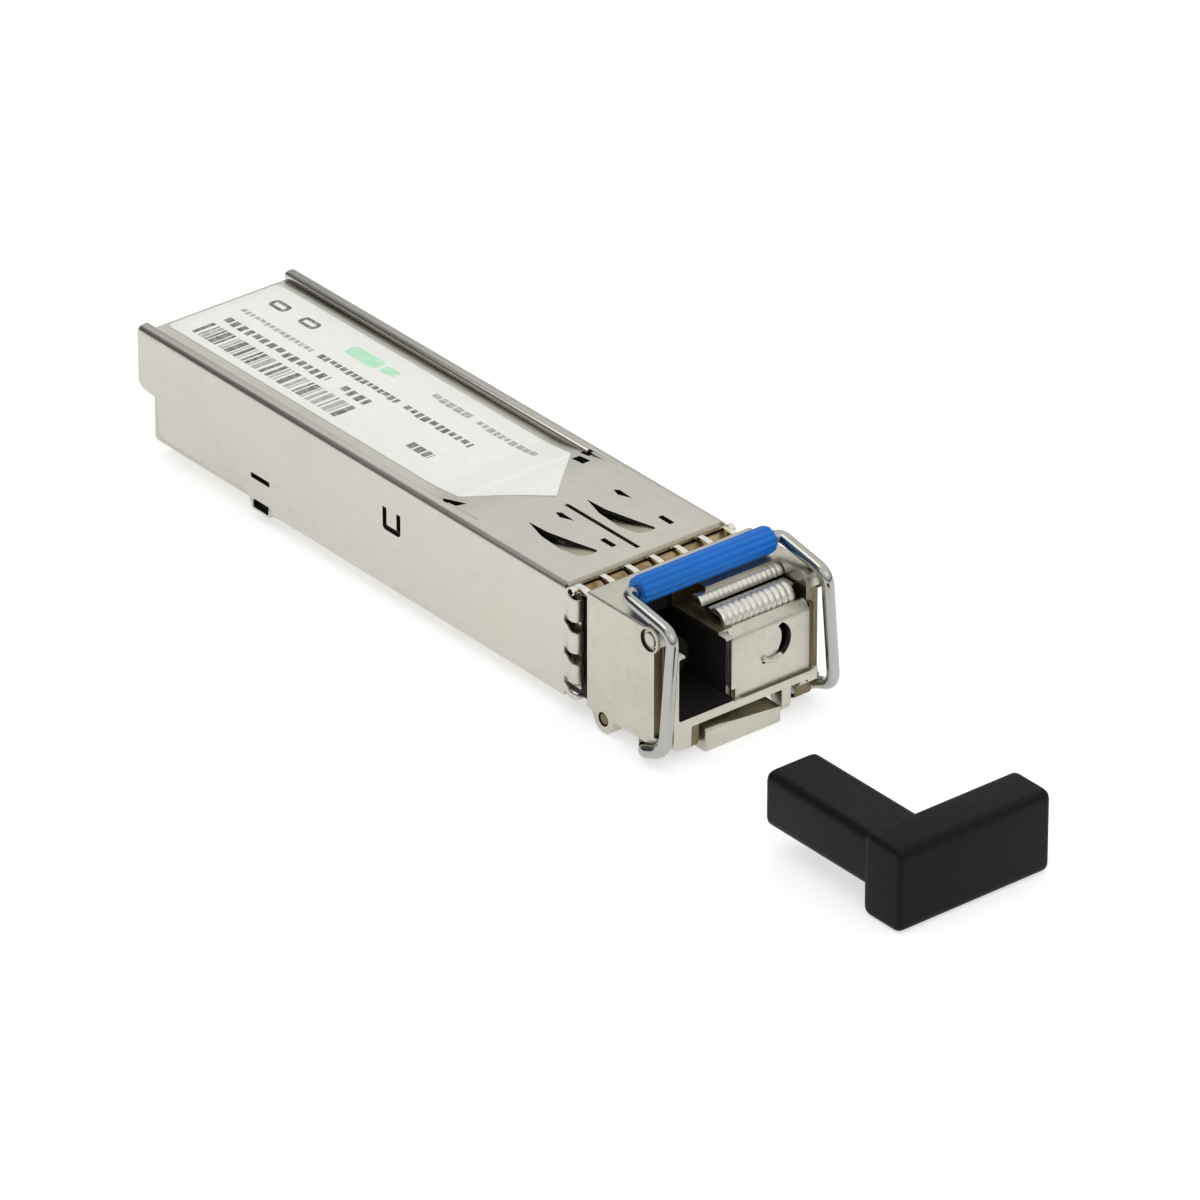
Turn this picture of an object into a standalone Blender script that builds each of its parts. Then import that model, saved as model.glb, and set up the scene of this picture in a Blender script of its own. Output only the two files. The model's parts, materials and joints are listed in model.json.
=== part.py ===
"""Pluggable single-fibre optical transceiver with a bail latch, and its loose dust plug.

Lengths below are millimetres. x is measured from the shell's rear end towards the optical port, y from
the centreline and z up from the bottom face. The origin is on the bottom face, ORIGIN_X from the rear.
"""

import math

import bmesh
import bpy
from mathutils import Vector

MM = 0.001

# Driving dimensions of the standard small-form-factor outline.
ORIGIN_X = 20.0
BODY_HALF = 6.7
BODY_TOP = 8.5
SHELL_END = 45.2
NOSE_BACK = 47.5
NOSE_FRONT = 55.4
NOSE_TOP = 9.0
NOSE_BOTTOM = 0.5
NOSE_HALF = 6.75
DETENT_X = 53.9
DETENT_Z = 8.3
SHEET = 0.3
EDGE_STEP = 0.03
GAP = 0.1

# Shell side walls and rails.
TAIL_STEP_X = 2.2
TAIL_STEP_Z = 4.0
SKIRT_X = 12.3
SKIRT_REAR_Z = 1.1
SKIRT_FRONT_Z = 0.35
RAIL_WIDTH = 1.05
RAIL_DEPTH = 0.45
RAIL_NOTCH = (32.1, 33.3)
PLATE_BACK = 35.1
FINGER_SLOTS_Z = (8.2, 5.8, 3.5, 1.3)
FINGER_SLOT_HALF = 0.12
FINGER_TIP = 47.35

# Optical port and the bay that the blanking cover hides.
PORT_Y = (-5.6, -1.1)
PORT_Z = (2.45, 7.0)
PORT_BACK = 46.4
LATCH_SLOT_BACK = 49.5
BAY_Y = (-0.5, 5.5)
BAY_FLOOR = 2.35
FIBRE_Y = -3.3
FIBRE_Z = 4.75

# Latch: bail hinge, rocker hinge, boss and push block.
BAIL_X = 53.3
BAIL_Z = 0.0
WIRE_R = 0.43
LEG_X = 55.7
PIN_END = 5.5
PIN_HALF = 7.22
LEG_HALF_LOW = 7.0
LEG_BOTTOM = 0.9
LEG_HALF_HIGH = 6.35
LEG_TOP = 9.2
BEND = 1.0
BAR_BEND = 0.6
BAR_X = 51.0
BAR_Z = 10.05
SLEEVE_HALF = 5.45
SLEEVE_R = 0.95
ROCKER_X = 49.2
ROCKER_Z = 0.35
PIN_R = 0.4
PIN_PLAY = 0.08
BOSS_X = 45.0
BOSS_DROP = 0.45
PUSH_HALF = 3.1
CAVITY_ROOF = 1.8
FLOOR_Z = -0.8

# Board and optics.
BOARD_Z = 2.25
BOARD_TOP = 3.25
BOARD_HALF = 4.6
BOARD_X = (3.2, 31.5)
OPTICS_X = (37.0, 42.4)

# Dust plug, lying on the same plane as the push block's underside.
PLUG_X = (66.8, 80.0)
PLUG_Y = (-8.2, 4.2)
PLUG_TOP = 5.1
LEG_WIDTH = 4.35
LEG_HEIGHT = 4.0
HANDLE_DEPTH = 3.6


def clear_scene():
    for obj in list(bpy.data.objects):
        bpy.data.objects.remove(obj, do_unlink=True)


def material(name, colour, roughness, metallic):
    made = bpy.data.materials.new(name)
    made.use_nodes = True
    shader = made.node_tree.nodes["Principled BSDF"]
    shader.inputs["Base Color"].default_value = (*colour, 1.0)
    shader.inputs["Roughness"].default_value = roughness
    shader.inputs["Metallic"].default_value = metallic
    return made


def point(x, y, z):
    """World position in metres of a point given in the drawing's millimetres."""
    return Vector(((x - ORIGIN_X) * MM, y * MM, z * MM))


def add_object(name, mesh, surface=None):
    obj = bpy.data.objects.new(name, mesh)
    bpy.context.scene.collection.objects.link(obj)
    if surface:
        mesh.materials.append(surface)
    return obj


def finish_mesh(name, bm, surface):
    bmesh.ops.recalc_face_normals(bm, faces=bm.faces)
    mesh = bpy.data.meshes.new(name)
    bm.to_mesh(mesh)
    bm.free()
    return add_object(name, mesh, surface)


def prism(name, outline, axis, span, surface=None):
    """Extrudes a closed outline along one axis. The outline's pairs are the other two axes, in order."""

    def corner(pair, along):
        values = list(pair)
        values.insert("xyz".index(axis), along)
        return point(*values)

    bm = bmesh.new()
    ring = [bm.verts.new(corner(pair, span[0])) for pair in outline]
    face = bm.faces.new(ring)
    grown = bmesh.ops.extrude_face_region(bm, geom=[face])
    moved = [item for item in grown["geom"] if isinstance(item, bmesh.types.BMVert)]
    shift = corner(outline[0], span[1]) - corner(outline[0], span[0])
    bmesh.ops.translate(bm, verts=moved, vec=shift)
    return finish_mesh(name, bm, surface)


def block(name, x, y, z, surface=None):
    outline = [(y[0], z[0]), (y[1], z[0]), (y[1], z[1]), (y[0], z[1])]
    return prism(name, outline, "x", x, surface)


def disc(centre, radius, steps=24, start=0.0, turn=360.0):
    """Points round a circle, or along an arc when turn is under 360 degrees."""
    whole = turn >= 360.0
    count = steps if whole else steps + 1
    angles = [math.radians(start + turn * i / steps) for i in range(count)]
    return [(centre[0] + radius * math.cos(a), centre[1] + radius * math.sin(a)) for a in angles]


def rod(name, axis, centre, radius, span, surface=None, steps=24):
    return prism(name, disc(centre, radius, steps), axis, span, surface)


def combine(target, other, operation):
    other.hide_render = True
    other.display_type = "WIRE"
    modifier = target.modifiers.new(other.name, "BOOLEAN")
    modifier.operation = operation
    modifier.solver = "EXACT"
    modifier.object = other


def cut(target, *cutters):
    for cutter in cutters:
        combine(target, cutter, "DIFFERENCE")


def fuse(target, *others):
    for other in others:
        combine(target, other, "UNION")


def bevel(obj, width, segments=2):
    modifier = obj.modifiers.new("edges", "BEVEL")
    modifier.width = width * MM
    modifier.segments = segments
    modifier.limit_method = "ANGLE"


def smooth(obj, angle=30.0):
    obj.data.shade_smooth()
    obj.data.set_sharp_from_angle(angle=math.radians(angle))


def hinge_origin(obj, centre):
    """Moves an object's origin onto its hinge axis, leaving its shape where it is."""
    obj.location = centre
    for vertex in obj.data.vertices:
        vertex.co -= centre


def mirrored(values):
    """The same y range on the other side of the centreline."""
    return (-values[1], -values[0])


# Outer shell: stamped sheet, open along the middle of its top for the label plate.


def shell_side(name, y, surface):
    """One side wall, seen along y: stepped at the tail and along its lower edge."""
    outline = [
        (0.0, BODY_TOP - EDGE_STEP),
        *disc((0.9, TAIL_STEP_Z + 0.9), 0.9, 5, 180.0, 90.0),
        *disc((TAIL_STEP_X - 0.9, TAIL_STEP_Z - 0.9), 0.9, 5, 90.0, -90.0),
        *disc((TAIL_STEP_X + 1.0, SKIRT_REAR_Z + 1.0), 1.0, 5, 180.0, 90.0),
        (SKIRT_X, SKIRT_REAR_Z),
        (SKIRT_X, SKIRT_FRONT_Z),
        (FINGER_TIP, SKIRT_FRONT_Z),
        (FINGER_TIP, BODY_TOP - SHEET),
        (SHELL_END, BODY_TOP - SHEET),
        (SHELL_END, BODY_TOP - EDGE_STEP),
    ]
    return prism(name, outline, "y", y, surface)


def tongue_openings(side):
    """The cut-outs round one lanced grounding tongue, and the cut under its rear and front corners."""
    y = 2.4 * side
    belly = [(37.4, y - 1.25), (39.0, y - 1.12), (41.6, y - 0.95)]
    nose = disc((42.5, y - 1.38), 0.45, 8, 90.0, -180.0)
    teardrop = belly + nose + [(41.0, y - 1.75), (39.2, y - 1.55)]
    relief = [(37.4, y + 0.9), (38.9, y + 1.15), (37.5, y + 1.25)]
    level = (BODY_TOP - 1.0, BODY_TOP + 1.0)
    yield prism(f"tongue_edge_{side}", teardrop, "z", level)
    yield prism(f"tongue_relief_{side}", relief, "z", level)
    yield block(f"tongue_notch_{side}", (42.2, 43.3), (y + 0.85, y + 1.25), level)


def tongue_bump(side):
    """The raised contact line of one grounding tongue."""
    y = 2.4 * side
    outline = [(38.2, 8.35), (42.6, 8.35), (42.0, 8.5), (40.9, 8.68), (40.2, 8.68), (39.0, 8.5)]
    return prism(f"tongue_bump_{side}", outline, "y", (y - 0.9, y + 0.75))


def top_frame(name):
    """The shell's top seen from above: a front plate with two rails running back from it."""
    outer = BODY_HALF - EDGE_STEP
    inner = BODY_HALF - RAIL_WIDTH
    outline = [(0.0, -outer), (SHELL_END - EDGE_STEP, -outer), (SHELL_END - EDGE_STEP, outer), (0.0, outer)]
    outline += [(0.0, inner), (PLATE_BACK, inner), (PLATE_BACK, -inner), (0.0, -inner)]
    return prism(name, outline, "z", (BODY_TOP - SHEET, BODY_TOP))


def outer_shell(surface):
    wall = (-BODY_HALF, -BODY_HALF + SHEET)
    shell = shell_side("outer_shell", wall, surface)
    parts = [shell_side("far_wall", mirrored(wall), None), top_frame("top_frame"), tongue_bump(-1), tongue_bump(1)]
    inner = BODY_HALF - RAIL_WIDTH
    for side, name in ((-1, "near"), (1, "far")):
        hem = sorted((side * (inner + EDGE_STEP), side * (inner + SHEET)))
        hem_z = (BODY_TOP - RAIL_DEPTH, BODY_TOP - SHEET / 2)
        parts.append(block(f"{name}_hem", (EDGE_STEP, PLATE_BACK + EDGE_STEP), hem, hem_z))
        foot = sorted((side * (BODY_HALF - 0.35), side * (BODY_HALF + 0.05)))
        parts.append(block(f"{name}_foot", (SKIRT_X + 0.1, SKIRT_X + 2.0), foot, (0.0, SKIRT_FRONT_Z + 0.2)))
    fuse(shell, *parts)
    across = (-BODY_HALF - 1.0, BODY_HALF + 1.0)
    cuts = [block("centre_slit", (36.8, 44.6), (-0.17, 0.17), (BODY_TOP - 1.0, BODY_TOP + 1.0))]
    cuts += [*tongue_openings(-1), *tongue_openings(1)]
    cuts.append(block("side_slots", (SKIRT_X, SKIRT_X + 2.0), across, (2.5, 2.9)))
    for index, z in enumerate(FINGER_SLOTS_Z[1:]):
        height = (z - FINGER_SLOT_HALF, z + FINGER_SLOT_HALF)
        cuts.append(block(f"finger_slot_{index}", (SHELL_END - 0.2, NOSE_BACK), across, height))
    lance = [(26.4, 6.1), *disc((26.8, 4.9), 0.4, 4, 180.0, 90.0), *disc((27.9, 4.9), 0.4, 4, 270.0, 90.0)]
    lance += [(28.3, 6.1), (27.9, 6.1), (27.9, 4.9), (26.8, 4.9), (26.8, 6.1)]
    cuts.append(prism("side_lances", lance, "y", across))
    for side, name in ((-1, "near"), (1, "far")):
        notch = sorted((side * (inner - 0.1), side * (inner + 0.45)))
        cuts.append(block(f"{name}_notch", RAIL_NOTCH, notch, (BODY_TOP - 1.0, BODY_TOP + 1.0)))
    cut(shell, *cuts)
    return shell


def top_cover(surface):
    return block("top_cover", (0.1, 35.8), (-6.3, 6.3), (7.6, 7.95), surface)


def product_label(surface):
    """Sticker with its front end cut to a right-angled point."""
    half, tip, back = 4.75, 34.9, 0.4
    outline = [(back, -half), (tip - half, -half), (tip, 0.0), (tip - half, half), (back, half)]
    return prism("product_label", outline, "z", (8.0, 8.08), surface)


def emi_spring_collar(surface):
    """Spring-sheet band over the neck, with a row of windows along its top and slots down its sides."""
    back, front = SHELL_END + 0.08, NOSE_BACK - GAP
    outer, inner = 6.3, 6.15
    collar = block("emi_spring_collar", (back, front), (-outer, outer), (1.0, 8.4), surface)
    cuts = [block("collar_hollow", (back - 1, front + 1), (-inner, inner), (0.0, 8.2))]
    for index in range(6):
        y = (index - 2.5) * 2.05
        cuts.append(block(f"collar_window_{index}", (back + 0.3, front - 0.2), (y - 0.75, y + 0.75), (8.0, 9.0)))
    for index, z in enumerate(FINGER_SLOTS_Z[1:3]):
        cuts.append(block(f"collar_slot_{index}", (back + 0.3, front + 1), (-9.0, 9.0), (z - 0.2, z + 0.2)))
    cut(collar, *cuts)
    return collar


# Die-cast housing: nose, neck and the tray under the board.


def nose_outline():
    """Side view of the nose: rounded at its upper front corner."""
    return [
        (NOSE_BACK, NOSE_BOTTOM),
        (NOSE_BACK, NOSE_TOP),
        *disc((DETENT_X, NOSE_TOP - 0.7), 0.7, 6, 90.0, -90.0),
        (54.6, 1.1),
        (54.0, NOSE_BOTTOM),
    ]


def tray_section(chamfer):
    """Cross-section of the tray: floor, board ledges and chamfered lower edges."""
    outer, ledge, inner = 6.3, 4.8, 4.0
    right = [(outer - chamfer, 0.0), (outer, chamfer), (outer, 3.4), (ledge, 3.4), (ledge, 2.2), (inner, 2.2), (inner, 0.9)]
    return right + [(-y, z) for y, z in reversed(right)]


def lug(name, centre, radius, y, top):
    """A hanging lug with a round lower end, seen along y."""
    x, z = centre
    outline = [(x - radius, top), *disc(centre, radius, 14, 180.0, 180.0), (x + radius, top)]
    return prism(name, outline, "y", y)


def pin_lug(name, y):
    """The lug that carries the rocker's pin, flared back to the nose's rear edge."""
    outline = [(NOSE_BACK + EDGE_STEP, 1.5), *disc((ROCKER_X, ROCKER_Z), 0.95, 12, 215.0, 145.0), (50.4, 1.5)]
    return prism(name, outline, "y", y)


def nose_housing(surface):
    housing = prism("nose_housing", nose_outline(), "y", (-NOSE_HALF, NOSE_HALF), surface)
    lip = (54.4, NOSE_FRONT)
    solids = [
        block("neck", (44.6, NOSE_BACK + 0.2), (-6.05, 6.05), (SKIRT_FRONT_Z, 8.1)),
        block("port_lip", lip, (-6.05, -1.1), (NOSE_BOTTOM, 7.2)),
        block("bay_lip", lip, (5.45, 5.9), (CAVITY_ROOF, 7.0)),
        block("sill_lip", lip, (-5.8, 5.9), (CAVITY_ROOF, BAY_FLOOR)),
        prism("tray_tail", tray_section(SKIRT_REAR_Z), "x", (1.2, SKIRT_X + 0.1)),
        prism("tray_front", tray_section(SKIRT_FRONT_Z), "x", (SKIRT_X, 44.8)),
    ]
    for side in (-1, 1):
        guide = sorted((side * 3.4, side * 4.2))
        cheek = sorted((side * 5.75, side * (NOSE_HALF - EDGE_STEP)))
        detent = sorted((side * 6.6, side * 6.95))
        solids.append(pin_lug(f"pin_lug_{side}", cheek))
        solids.append(rod(f"detent_{side}", "y", (DETENT_X, DETENT_Z), 0.6, detent, None, 16))
        solids.append(block(f"guide_root_{side}", (BAIL_X - 0.5, BAIL_X + 1.4), guide, (CAVITY_ROOF, BAY_FLOOR)))
    fuse(housing, *solids)
    cuts = [
        block("port", (PORT_BACK, 60.0), PORT_Y, PORT_Z),
        block("latch_slot", (LATCH_SLOT_BACK, 60.0), PORT_Y, (PORT_Z[1] - 0.1, 12.0)),
        block("spare_bay", (PORT_BACK, 60.0), BAY_Y, (BAY_FLOOR, 8.3)),
        block("bay_mouth", (52.2, 60.0), (PORT_Y[1] - 0.1, BAY_Y[1]), (7.0, 12.0)),
        block("cover_seat", (54.6, 60.0), (-1.15, BAY_Y[1]), (1.5, 8.0)),
        block("rocker_cavity", (46.0, 60.0), (-5.1, 5.1), (-2.0, CAVITY_ROOF)),
        block("rocker_groove", (41.8, 47.0), (-1.6, 1.6), (-2.0, 1.65)),
        block("optics_bay", (32.0, 44.6), (-5.95, 5.95), (1.2, 9.0)),
        rod("barrel_hole", "x", (FIBRE_Y, FIBRE_Z), 1.6, (43.0, 47.0)),
        rod("rocker_pin_holes", "y", (ROCKER_X, ROCKER_Z), PIN_R + PIN_PLAY, (-9.0, 9.0)),
    ]
    cut(housing, *cuts)
    # The lugs that hang below the cavity's roof are added once the cavity has been cut.
    for side in (-1, 1):
        guide = sorted((side * 3.4, side * 4.2))
        ear = sorted((side * 5.3, side * (NOSE_HALF - EDGE_STEP)))
        fuse(housing, lug(f"guide_lug_{side}", (BAIL_X + 0.9, 0.2), 0.6, guide, CAVITY_ROOF + 0.2))
        fuse(housing, lug(f"bail_ear_{side}", (BAIL_X, BAIL_Z), 0.72, ear, 1.4))
    cut(housing, rod("bail_pin_holes", "y", (BAIL_X, BAIL_Z), WIRE_R + PIN_PLAY, (-9.0, 9.0)))
    return housing


def blanking_cover(surface):
    """Plate over the unused half of the front, stepped back at its top by two rolled edges."""
    outline = [
        (54.75, 2.0),
        (55.15, 2.0),
        (55.15, 6.95),
        (54.75, 7.15),
        *disc((53.75, 7.45), 0.75, 8, 0.0, 100.0),
        (53.2, 8.35),
        *disc((52.65, 8.55), 0.4, 6, 0.0, 180.0),
        (52.25, 8.0),
        (52.9, 7.7),
        (53.2, 7.1),
        (54.75, 7.1),
    ]
    cover = prism("blanking_cover", outline, "y", (-1.05, 5.4), surface)
    cut(cover, rod("cover_dimple", "x", (2.3, 5.0), 1.2, (55.02, 56.0)))
    return cover


# Bail latch.


def rounded_path(corners, reaches, steps=5):
    """A polyline through corners, with each inner corner rounded from the given distance before it."""
    path = [corners[0]]
    for before, here, after, reach in zip(corners, corners[1:], corners[2:], reaches):
        first = here + (before - here).normalized() * reach
        last = here + (after - here).normalized() * reach
        for i in range(steps + 1):
            t = i / steps
            path.append(first * (1 - t) ** 2 + here * 2 * t * (1 - t) + last * t**2)
    path.append(corners[-1])
    return path


def bail_path():
    """Half of the bail from the hinge pin to the middle of the bar, then its mirror image."""
    half = [
        point(BAIL_X, -PIN_END, BAIL_Z),
        point(BAIL_X, -PIN_HALF, BAIL_Z),
        point(LEG_X, -LEG_HALF_LOW, LEG_BOTTOM),
        point(LEG_X, -LEG_HALF_HIGH, LEG_TOP),
        point(BAR_X, -LEG_HALF_HIGH, BAR_Z),
        point(BAR_X, 0.0, BAR_Z),
    ]
    other = [Vector((p.x, -p.y, p.z)) for p in reversed(half[:-1])]
    bends = [BEND * MM] * 3 + [BAR_BEND * MM]
    return rounded_path(half[:-1] + other, bends + bends[::-1])


def bail_wire(surface):
    """Bent wire whose pin ends turn in the ears under the nose."""
    hinge = point(BAIL_X, 0.0, BAIL_Z)
    curve = bpy.data.curves.new("bail_wire", "CURVE")
    curve.dimensions = "3D"
    curve.bevel_depth = WIRE_R * MM
    curve.bevel_resolution = 3
    curve.use_fill_caps = True
    path = bail_path()
    spline = curve.splines.new("POLY")
    spline.points.add(len(path) - 1)
    for knot, place in zip(spline.points, path):
        knot.co = (*(place - hinge), 1.0)
    wire = add_object("bail_wire", curve)
    curve.materials.append(surface)
    wire.location = hinge
    return wire


def bail_sleeve(surface):
    """Moulded grip with shallow flutes along it, on the bail's bar."""
    flutes = 12
    outline = []
    for i in range(flutes * 2):
        angle = math.pi * i / flutes
        radius = SLEEVE_R - 0.1 * (i % 2)
        outline.append((BAR_X + radius * math.cos(angle), BAR_Z + radius * math.sin(angle)))
    sleeve = prism("bail_sleeve", outline, "y", (-SLEEVE_HALF, SLEEVE_HALF), surface)
    bore = rod("sleeve_bore", "y", (BAR_X, BAR_Z), WIRE_R + 0.06, (-9.0, 9.0), None, 16)
    hinge_origin(sleeve, point(BAIL_X, 0.0, BAIL_Z))
    cut(sleeve, bore)
    return sleeve


def latch_rocker(surface):
    """Lever under the nose: latch boss at its rear end, hinge in the middle, push block at the front."""
    arm = [
        (42.5, 0.05),
        (42.6, 0.0),
        (BOSS_X, -BOSS_DROP),
        (BOSS_X, 0.05),
        (53.4, 0.05),
        (53.4, 1.1),
        (50.6, 1.1),
        (48.6, 0.75),
        (42.5, 0.75),
    ]
    rocker = prism("latch_rocker", arm, "y", (-1.3, 1.3), surface)
    hub = rod("rocker_hub", "y", (ROCKER_X, ROCKER_Z), 1.0, (-5.0, 5.0))
    web = block("rocker_web", (50.2, 53.4), (-PUSH_HALF, PUSH_HALF), (-0.15, 1.1))
    push = block("push_block", (53.2, 55.1), (-PUSH_HALF, PUSH_HALF), (FLOOR_Z, 1.05))
    bevel(push, 0.25)
    fuse(rocker, hub, web, push)
    cut(rocker, rod("rocker_bore", "y", (ROCKER_X, ROCKER_Z), PIN_R + PIN_PLAY, (-9.0, 9.0)))
    hinge = point(ROCKER_X, 0.0, ROCKER_Z)
    hinge_origin(rocker, hinge)
    return rocker


def rocker_pivot_pin(surface):
    pin = rod("rocker_pivot_pin", "y", (ROCKER_X, ROCKER_Z), PIN_R, (-6.7, 6.7), surface)
    smooth(pin)
    return pin


def latch_return_spring(surface):
    """Arched leaf between the rocker's rear arm and the roof of its cavity."""
    thick = 0.12
    low, high, back, front = 0.82, 1.58, 45.1, 47.9
    upper = []
    steps = 10
    for i in range(steps + 1):
        t = i / steps
        upper.append((back + (front - back) * t, low + (high - thick - low) * math.sin(math.pi * t) + thick))
    lower = [(x, z - thick) for x, z in reversed(upper)]
    return prism("latch_return_spring", upper + lower, "y", (-0.8, 0.8), surface)


# Optical sub-assembly.


def tube(name, x, outer, inner, surface):
    made = rod(name, "x", (FIBRE_Y, FIBRE_Z), outer, x, surface)
    cut(made, rod(f"{name}_bore", "x", (FIBRE_Y, FIBRE_Z), inner, (x[0] - 1.0, x[1] + 1.0)))
    smooth(made)
    return made


def optics(steel, ceramic, glass, brass, plastic):
    barrel = rod("receptacle_barrel", "x", (FIBRE_Y, FIBRE_Z), 1.45, (42.7, 51.8), steel)
    fuse(barrel, rod("barrel_flange", "x", (FIBRE_Y, FIBRE_Z), 2.2, (44.15, 44.5)))
    cut(barrel, rod("barrel_bore", "x", (FIBRE_Y, FIBRE_Z), 0.95, (42.0, 53.0)))
    smooth(barrel)
    tube("alignment_sleeve", (46.0, 51.4), 0.88, 0.68, ceramic)
    stub = rod("fibre_stub", "x", (FIBRE_Y, FIBRE_Z), 0.62, (43.0, 48.6), ceramic)
    smooth(stub)
    saddle = block("receptacle_saddle", (43.1, 44.0), (-5.7, -0.7), (1.9, 7.9), plastic)
    cut(saddle, rod("saddle_bore", "x", (FIBRE_Y, FIBRE_Z), 1.55, (42.0, 45.0)))

    centre = (OPTICS_X[0] + OPTICS_X[1]) / 2
    body = block("optical_block", OPTICS_X, (-5.8, -0.6), (2.1, 7.4), steel)
    cut(body, rod("light_path", "x", (FIBRE_Y, FIBRE_Z), 1.2, (30.0, 45.0)))
    cut(body, rod("side_path", "y", (centre, FIBRE_Z), 1.2, (FIBRE_Y, 3.0)))
    tilt = 0.75
    pane = [(centre - tilt, FIBRE_Y - tilt), (centre - tilt + 0.14, FIBRE_Y - tilt - 0.14)]
    pane += [(centre + tilt + 0.14, FIBRE_Y + tilt - 0.14), (centre + tilt, FIBRE_Y + tilt)]
    prism("wavelength_filter", pane, "z", (FIBRE_Z - 0.5, FIBRE_Z + 0.5), glass)

    laser = rod("laser_can", "x", (FIBRE_Y, FIBRE_Z), 2.35, (33.6, 36.9), brass)
    fuse(laser, rod("laser_header", "x", (FIBRE_Y, FIBRE_Z), 2.6, (33.2, 34.2)))
    smooth(laser)
    diode = rod("photodiode_can", "y", (centre, FIBRE_Z), 2.2, (-0.5, 2.4), brass)
    fuse(diode, rod("diode_header", "y", (centre, FIBRE_Z), 2.5, (1.8, 2.9)))
    smooth(diode)


def flexes(surface):
    """Two flexible circuits, each from a can's header to the board's upper face."""
    foot, lift = BOARD_TOP + 0.06, 0.16
    bent = [(28.6, foot), (32.3, foot), (32.95, foot + 0.6), (32.95, 6.4), (32.79, 6.4)]
    bent += [(32.79, foot + 0.68), (32.22, foot + lift), (28.6, foot + lift)]
    prism("laser_flex", bent, "y", (FIBRE_Y - 1.3, FIBRE_Y + 1.3), surface)
    flag = block("photodiode_flex", (29.5, 41.6), (3.0, 3.16), (foot, 6.4), surface)
    fuse(flag, block("flex_foot", (29.5, 31.2), (0.6, 3.1), (foot, foot + lift)))


# Circuit board and what it carries.


def circuit_board(surface):
    board = block("circuit_board", BOARD_X, (-BOARD_HALF, BOARD_HALF), (BOARD_Z, BOARD_TOP), surface)
    bevel(board, 0.15, 1)


def chip(name, centre, size, surface, under=False):
    """A rectangular component on the board, on its upper face or hanging from its lower one."""
    low = BOARD_Z - 0.05 - size[2] if under else BOARD_TOP + 0.05
    x, y = centre
    spans = (x - size[0] / 2, x + size[0] / 2), (y - size[1] / 2, y + size[1] / 2)
    made = block(name, *spans, (low, low + size[2]), surface)
    bevel(made, 0.06, 1)


def components(epoxy, ferrite, capacitor, pad):
    chip("driver_chip", (22.0, 0.0), (4.0, 4.0, 0.75), epoxy, under=True)
    chip("microcontroller", (14.5, 1.6), (4.0, 4.0, 0.9), epoxy)
    chip("memory_chip", (10.2, -2.4), (3.0, 2.2, 0.8), epoxy)
    chip("receive_amplifier", (23.5, 1.8), (3.0, 3.0, 0.85), epoxy)
    for index, x in enumerate((18.6, 9.4)):
        chip(f"power_inductor_{index + 1}", (x, 2.2 - 4.6 * (1 - index)), (2.0, 1.6, 1.4), ferrite)
    for index in range(6):
        place = (12.6 + 2.9 * index, -3.7 if index % 2 else -0.9)
        chip(f"capacitor_{index + 1}", place, (1.6, 0.8, 0.8), capacitor)
    block("thermal_pad", (20.2, 23.8), (-1.8, 1.8), (0.95, 1.4), pad)


def dust_plug(surface):
    """L-shaped plug: a hollow-ended leg for the port and a cross handle."""
    low = PLUG_TOP - LEG_HEIGHT
    side = (PLUG_Y[0], PLUG_Y[0] + LEG_WIDTH)
    leg = block("dust_plug", (PLUG_X[0], PLUG_X[1] - 1.0), side, (low, PLUG_TOP), surface)
    handle = block("plug_handle", (PLUG_X[1] - HANDLE_DEPTH, PLUG_X[1]), PLUG_Y, (FLOOR_Z, PLUG_TOP))
    fuse(leg, handle)
    bevel(leg, 0.35, 3)
    middle = (sum(side) / 2, (low + PLUG_TOP) / 2)
    bore = rod("plug_bore", "x", middle, 1.6, (PLUG_X[0] - 1.0, PLUG_X[0] + 7.0))
    hinge_origin(leg, point(PLUG_X[0], 0.0, 0.0))
    cut(leg, bore)
    return leg


def main():
    clear_scene()
    nickel = material("nickel_sheet", (0.62, 0.61, 0.59), 0.35, 1.0)
    zinc = material("plated_zinc", (0.66, 0.63, 0.57), 0.38, 1.0)
    bright = material("bright_wire", (0.75, 0.74, 0.72), 0.18, 1.0)
    spring = material("spring_sheet", (0.7, 0.66, 0.6), 0.25, 1.0)
    brass = material("gold_plated_can", (0.75, 0.6, 0.3), 0.3, 1.0)
    paper = material("label_paper", (0.88, 0.88, 0.87), 0.6, 0.0)
    blue = material("blue_plastic", (0.02, 0.2, 0.72), 0.4, 0.0)
    black = material("black_plastic", (0.015, 0.015, 0.016), 0.5, 0.0)
    ceramic = material("white_ceramic", (0.85, 0.85, 0.82), 0.25, 0.0)
    glass = material("filter_glass", (0.7, 0.8, 0.85), 0.05, 0.0)
    polyimide = material("polyimide", (0.55, 0.28, 0.05), 0.45, 0.0)
    laminate = material("green_laminate", (0.02, 0.16, 0.06), 0.4, 0.0)
    epoxy = material("chip_epoxy", (0.02, 0.02, 0.022), 0.5, 0.0)
    ferrite = material("ferrite", (0.12, 0.12, 0.12), 0.6, 0.0)
    capacitor = material("capacitor_ceramic", (0.45, 0.3, 0.18), 0.5, 0.0)
    pad = material("thermal_gel", (0.45, 0.55, 0.65), 0.8, 0.0)

    outer_shell(nickel)
    top_cover(nickel)
    product_label(paper)
    emi_spring_collar(spring)
    nose_housing(zinc)
    blanking_cover(zinc)
    bail_wire(bright)
    bail_sleeve(blue)
    latch_rocker(zinc)
    rocker_pivot_pin(bright)
    latch_return_spring(spring)
    optics(nickel, ceramic, glass, brass, black)
    flexes(polyimide)
    circuit_board(laminate)
    components(epoxy, ferrite, capacitor, pad)
    dust_plug(black)


main()
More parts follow.
